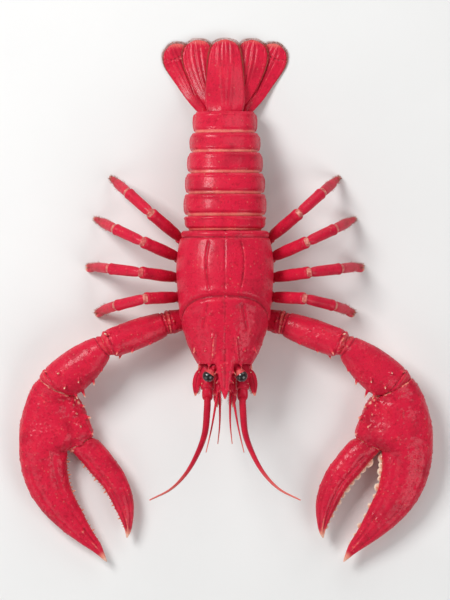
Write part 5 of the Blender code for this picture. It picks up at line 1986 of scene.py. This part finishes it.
def whip(name, path, radii, pitch, taper):
    """A ringed feeler along a path, thick at its root and thin at its tip."""
    fine = np.array(finer([tuple(point) for point in path], 200))
    run = run_of(fine)
    count = 2 * int(run[-1] / pitch)
    at = np.linspace(0, run[-1], count + 1)
    places = at_runs(fine, run, at)
    share = at / run[-1]
    sizes = radii[0] + (radii[1] - radii[0]) * share**taper
    sizes *= 1 + RING_SWELLING * np.where(np.arange(count + 1) % 2 == 0, -1, 1)
    curve = bpy.data.curves.new(name, "CURVE")
    curve.dimensions = "3D"
    curve.bevel_depth = 1.0
    curve.bevel_resolution = 4
    curve.use_fill_caps = True
    spline = curve.splines.new("POLY")
    spline.points.add(count)
    for target, place, size in zip(spline.points, places, sizes):
        target.co = (*place, 1)
        target.radius = size
    piece = bpy.data.objects.new(name, curve)
    bpy.context.scene.collection.objects.link(piece)
    choose(piece)
    bpy.ops.object.convert(target="MESH")
    piece = bpy.context.active_object
    bpy.ops.object.mode_set(mode="EDIT")
    bpy.ops.mesh.select_all(action="SELECT")
    bpy.ops.mesh.remove_doubles(threshold=1e-6)
    bpy.ops.mesh.normals_make_consistent(inside=False)
    bpy.ops.object.mode_set(mode="OBJECT")
    found = points_of(piece)
    parts = np.array_split(found, max(1, len(found) // 2000))
    nearest = np.concatenate([nearest_on(places, part) for part in parts])
    mask = piece.data.attributes.new("along", "FLOAT", "POINT")
    mask.data.foreach_set("value", at[nearest].astype(np.float32))
    paint(piece, "pale", slope(share[nearest], 0.55, 1.0))
    return piece


# %% Long feelers


def rooted(rings):
    """The rings with one more behind them, so that the root stands in what carries it."""
    return [rings[0].like(rings[0].facing * -FEELER_STANDS_IN, 0.94), *rings]


leaving = WHIP_PATH[1] - WHIP_PATH[0]
root = FEELER_ROOT - FORWARD * GAP / 2
base_rings = limb_rings(root, FEELER_BASE_END, FORWARD, leaving, FEELER_BASE, BASE_RINGS)
step = (BASE_RINGS - 1) / (COARSE_BASE_RINGS - 1)
coarse_base = [base_rings[round(k * step)] for k in range(COARSE_BASE_RINGS)]
base_rings = rooted(base_rings)
base_spines = spines_along(coarse_base, FEELER_SPINES, 1.2, radius=0.0013)
base = joined(
    "feeler_base_left",
    [loft("feeler_base", base_rings, 32), *[spine.mesh() for spine in base_spines]],
)
one_skin(base, FEELER_VOXEL, 3)
uneven(base, 0.004, 0.0003)
weather(base, base_spines, wear=5.0)

scale_rings = []
for x, y, wide, thick in finer(SCALE, 26):
    scale_rings.append(Ring((x, y, SCALE_LEVEL), FORWARD, wide, thick, powers=(1.7, 2.2)))
scale = loft("feeler_scale_left", scale_rings, 28)
subdivide(scale)
middle_line = centres_of(scale_rings)


def scale_relief(places, ways):
    """A keel on the outer half of the scale and fine lines beside it."""
    x_mid = np.interp(-places[:, 1], -middle_line[:, 1], middle_line[:, 0])
    wide = np.interp(-places[:, 1], -middle_line[:, 1], [ring.wide for ring in scale_rings])
    aside = (places[:, 0] - x_mid) / wide
    return bells((0.0005, aside - 0.45, 0.16), (-0.0003, aside - 0.12, 0.12))


push(scale, scale_relief)
weather(
    scale, wear=3.0, pale=lambda places, ways: 0.8 * (1 - slope(places[:, 1], -0.0868, -0.082))
)
scale_edge = [ring.point(0) for ring in scale_rings[5:23]]
roots, shares = along_line(scale_edge, SCALE_HAIR_SPACING)
scale_hairs = hair_row(
    "feeler_scale_hairs_left", roots, np.tile([-0.75, -0.65, 0.0], (len(roots), 1)),
    np.full(len(roots), SCALE_HAIR), patches(shares, 0.4), 21,
)
long_whip = whip("feeler_whip_left", WHIP_PATH, WHIP_RADII, RING_PITCH, WHIP_TAPER)
both_sides(base, limb_shell, "shell", "antenna_base")
both_sides(scale, limb_shell, "shell")
both_sides(scale_hairs, hair_rust, "shell")
both_sides(long_whip, feeler_crimson, "feeler", "antenna_whip_1", "antenna_whip_2")

# %% Short forked feelers
stem_rings = limb_rings(FORK_ROOT - FORWARD * GAP / 2, FORK_END, FORWARD, FORWARD, FORK_STEM, 44)
stem = loft("fork_stem_left", rooted(stem_rings), 22)
subdivide(stem)
weather(stem, wear=5.0)
branches = joined(
    "fork_branches_left",
    [whip("branch", [Vector(p) for p in path], FORK_RADII, 0.0010, 1.0) for path in FORK_BRANCHES],
)
both_sides(stem, limb_shell, "feeler", "antennule")
both_sides(branches, feeler_crimson, "feeler")

# %% [markdown]
# ## Mouth and underside
#
# Under the head a pair of leg-like limbs folds forward over the mouth, with a comb of hairs on its
# inner side. The underside of the chest is a row of plates, each between one pair of legs. All of
# this is paler than the back.

# %% Mouth limbs
# x, y, z, half width, half thickness
MOUTH_LIMB = (
    (0.0090, -0.0503, 0.0225, 0.0034, 0.0046),
    (0.0094, -0.0580, 0.0215, 0.0038, 0.0050),
    (0.0096, -0.0700, 0.0220, 0.0038, 0.0046),
    (0.0094, -0.0745, 0.0230, 0.0030, 0.0036),
    (0.0090, -0.0790, 0.0245, 0.0037, 0.0043),
    (0.0086, -0.0845, 0.0250, 0.0035, 0.0040),
    (0.0084, -0.0868, 0.0249, 0.0024, 0.0028),
    (0.0081, -0.0895, 0.0245, 0.0027, 0.0031),
    (0.0077, -0.0935, 0.0233, 0.0020, 0.0024),
    (0.0070, -0.0985, 0.0195, 0.0004, 0.0005),
)
LIMB_RINGS = 48
COMB_ANGLES = (-0.7, -0.35, 0.0, 0.35)
COMB_HAIR = 0.0040
COMB_SPACING = 0.00042
fine = finer(MOUTH_LIMB, LIMB_RINGS)
limb_line = [Vector(row[:3]) for row in fine]
mouth_rings = []
for k, row in enumerate(fine):
    ahead = limb_line[min(k + 1, LIMB_RINGS - 1)]
    facing = ahead - limb_line[k - 1] if k else FORWARD
    mouth_rings.append(Ring(limb_line[k], facing, row[3], row[4], powers=(2.3, 2.3)))
mouth_limb = loft("mouth_limb_left", mouth_rings, 24)
subdivide(mouth_limb)
uneven(mouth_limb, 0.005, 0.0003)


def mouth_limb_pale(places, ways):
    """Pale at the tip and at the last joint."""
    front = -places[:, 1]
    return 0.12 + 0.5 * slope(front, 0.090, 0.098) + 0.3 * bell(front - 0.0868, 0.0015)


weather(mouth_limb, wear=4.0, pale=mouth_limb_pale)
roots, ways, spots = [], [], []
for layer, angle in enumerate(COMB_ANGLES):
    line, shares = along_line([ring.point(angle) for ring in mouth_rings[5:45]], COMB_SPACING)
    roots.append(line)
    ways.append(np.tile([-1.0, -0.55, -0.35 + 0.25 * layer], (len(line), 1)))
    spots.append(patches(shares, 0.1 + 0.2 * layer))
lengths = np.full(sum(map(len, roots)), COMB_HAIR)
comb = hair_row("mouth_comb_left", roots, ways, lengths, spots, 31)
both_sides(mouth_limb, limb_shell, "shell_light", "mouth_leg")
both_sides(comb, hair_rust, "shell_light")

# %% Chest plates and jaws
# y, half width, low
CHEST = (
    (-0.050, 0.0120, 0.0170), (-0.036, 0.0160, 0.0145), (-0.028, CHEST_HALF_WIDTH, 0.0140),
    (0.054, CHEST_HALF_WIDTH, 0.0140), (0.061, 0.0150, 0.0170),
)
# x, y, z, half width, half thickness
JAW = (
    (0.0023, -0.0440, 0.0240, 0.0024, 0.0050), (0.0023, -0.0540, 0.0265, 0.0024, 0.0048),
    (0.0021, -0.0590, 0.0280, 0.0020, 0.0034),
)
PLATE_LINES = (-0.0285, -0.0060, 0.0105, 0.0253, 0.0395, 0.0530)
CHEST_VOXEL = 0.0007
chest_top = FLOOR_OF_SHIELD - GAP
chest_rings = [
    Ring((0, y, (chest_top + low) / 2), -FORWARD, half, (chest_top - low) / 2, powers=(8, 8))
    for y, half, low in CHEST
]
jaw = loft("jaw", [Ring(row[:3], FORWARD, row[3], row[4]) for row in finer(JAW, 14)], 20)
chest = joined("chest_plates", [loft("chest", chest_rings, 48), jaw, mirrored(jaw, "jaw_right")])
one_skin(chest, CHEST_VOXEL, 3)


def chest_relief(places, ways):
    """Grooves between the plates, a keel line and a hollow beside it."""
    x, y = np.abs(places[:, 0]), places[:, 1]
    below = slope(-ways[:, 2], 0.3, 0.7)
    depth = -0.0006 * bell(x, 0.0011)
    for line in PLATE_LINES:
        away = y - line - 0.12 * x
        depth += bells((-0.0012, away, 0.0013), (0.0006, away - 0.0045, 0.0028))
    return np.maximum(depth, -0.0016) * below * slope(y, -0.04, -0.034)


push(chest, chest_relief)
uneven(chest, 0.007, 0.0004)
weather(chest, pale=lambda places, ways: np.full(len(places), 0.38))
finished(chest, shell, "shell_light", "thorax_underside")

# %% [markdown]
# ## Paddles under the tail
#
# Four of the tail's rings carry a pair of soft paddles. Each has a short stem and two thin leaves
# with a fringe of long hairs. They are flat lofts, like leaves.

# %% Paddles
PADDLE_REACH = 0.018
# Share of the length, half width, half thickness
LEAF = (
    (0.00, 0.0006, 0.0006), (0.10, 0.0016, 0.0007), (0.35, 0.0034, 0.0008), (0.62, 0.0041, 0.0007),
    (0.85, 0.0030, 0.0005), (1.0, 0.0008, 0.0003),
)
# Share of the ring's length, x, share of the drop, half width, half thickness
PADDLE_STEM = (
    (0.22, 0.0100, -0.2, 0.0026, 0.0020), (0.30, 0.0106, 0.05, 0.0028, 0.0018),
    (0.42, 0.0112, 0.26, 0.0030, 0.0016), (0.48, 0.0114, 0.36, 0.0018, 0.0011),
)
STEM_WAY = (0.0, 0.55, -1.0)
# The outer and the inner leaf: distance beside the stem, x, place along and drop of the tip,
# width, and the way its thickness points
LEAVES = (
    (0.0008, 0.0195, 1.25, 0.97, 1.35, (0.25, 0.9, 0.45)),
    (-0.0008, 0.0062, 1.16, 0.93, 1.15, (-0.25, 0.9, 0.45)),
)
PADDLE_HAIR = 0.0028
PADDLE_HAIR_SPACING = 0.00040


def leaf(name, root, tip, wide_factor, up):
    """One thin leaf of a paddle, and its edge."""
    axis = (tip - root).normalized()
    rings = [
        Ring(root.lerp(tip, share), axis, wide * wide_factor, max(thick, 0.0003), up=up)
        for share, wide, thick in finer(LEAF, 22)
    ]
    return loft(name, rings, 16), margin_of(rings[3:])


for number in range(2, 6):
    front, back = TAIL[number - 1], TAIL[number]
    y0, length, low = front[0], back[0] - front[0], (front[3] + back[3]) / 2
    reach = min(PADDLE_REACH, low - CLEARANCE)
    stem_rings = [
        Ring((x, y0 + along * length, low - drop * reach), STEM_WAY, wide, thick, up=-FORWARD)
        for along, x, drop, wide, thick in finer(PADDLE_STEM, 10)
    ]
    pieces, edges = [loft("paddle_stem", stem_rings, 16)], []
    root = Vector((0.0114, y0 + 0.44 * length, low - 0.30 * reach))
    for aside, x, along, drop, wide, up in LEAVES:
        tip = Vector((x, y0 + along * length, low - drop * reach))
        piece, edge = leaf("leaf", root + OUTWARD * aside, tip, wide, Vector(up))
        pieces.append(piece)
        edges.append(edge)
    paddle = joined(f"paddle_{number}_left", pieces)
    rest_flat(paddle)
    uneven(paddle, 0.003, 0.0002)

    def paddle_pale(places, ways):
        return 0.35 + 0.25 * slope(-places[:, 2], -low, -low + reach)

    weather(paddle, wear=3.0, pale=paddle_pale)
    roots, ways, spots = [], [], []
    for row, edge in enumerate(edges):
        line, shares = along_line(edge, PADDLE_HAIR_SPACING)
        roots.append(line)
        ways.append(unit(line - np.array(edge).mean(axis=0)) + np.array([0, 0.5, -0.35]))
        spots.append(patches(shares, 0.2 + 0.4 * row))
    lengths = np.full(sum(map(len, roots)), PADDLE_HAIR)
    hairs = hair_row(f"paddle_{number}_fringe_left", roots, ways, lengths, spots, 50 + number)
    both_sides(paddle, shell, "shell_light")
    both_sides(hairs, hair_rust, "shell_light")

# %% Last numbers
bpy.context.view_layer.update()
print("triangles in all:", sum(count for _, count in made))
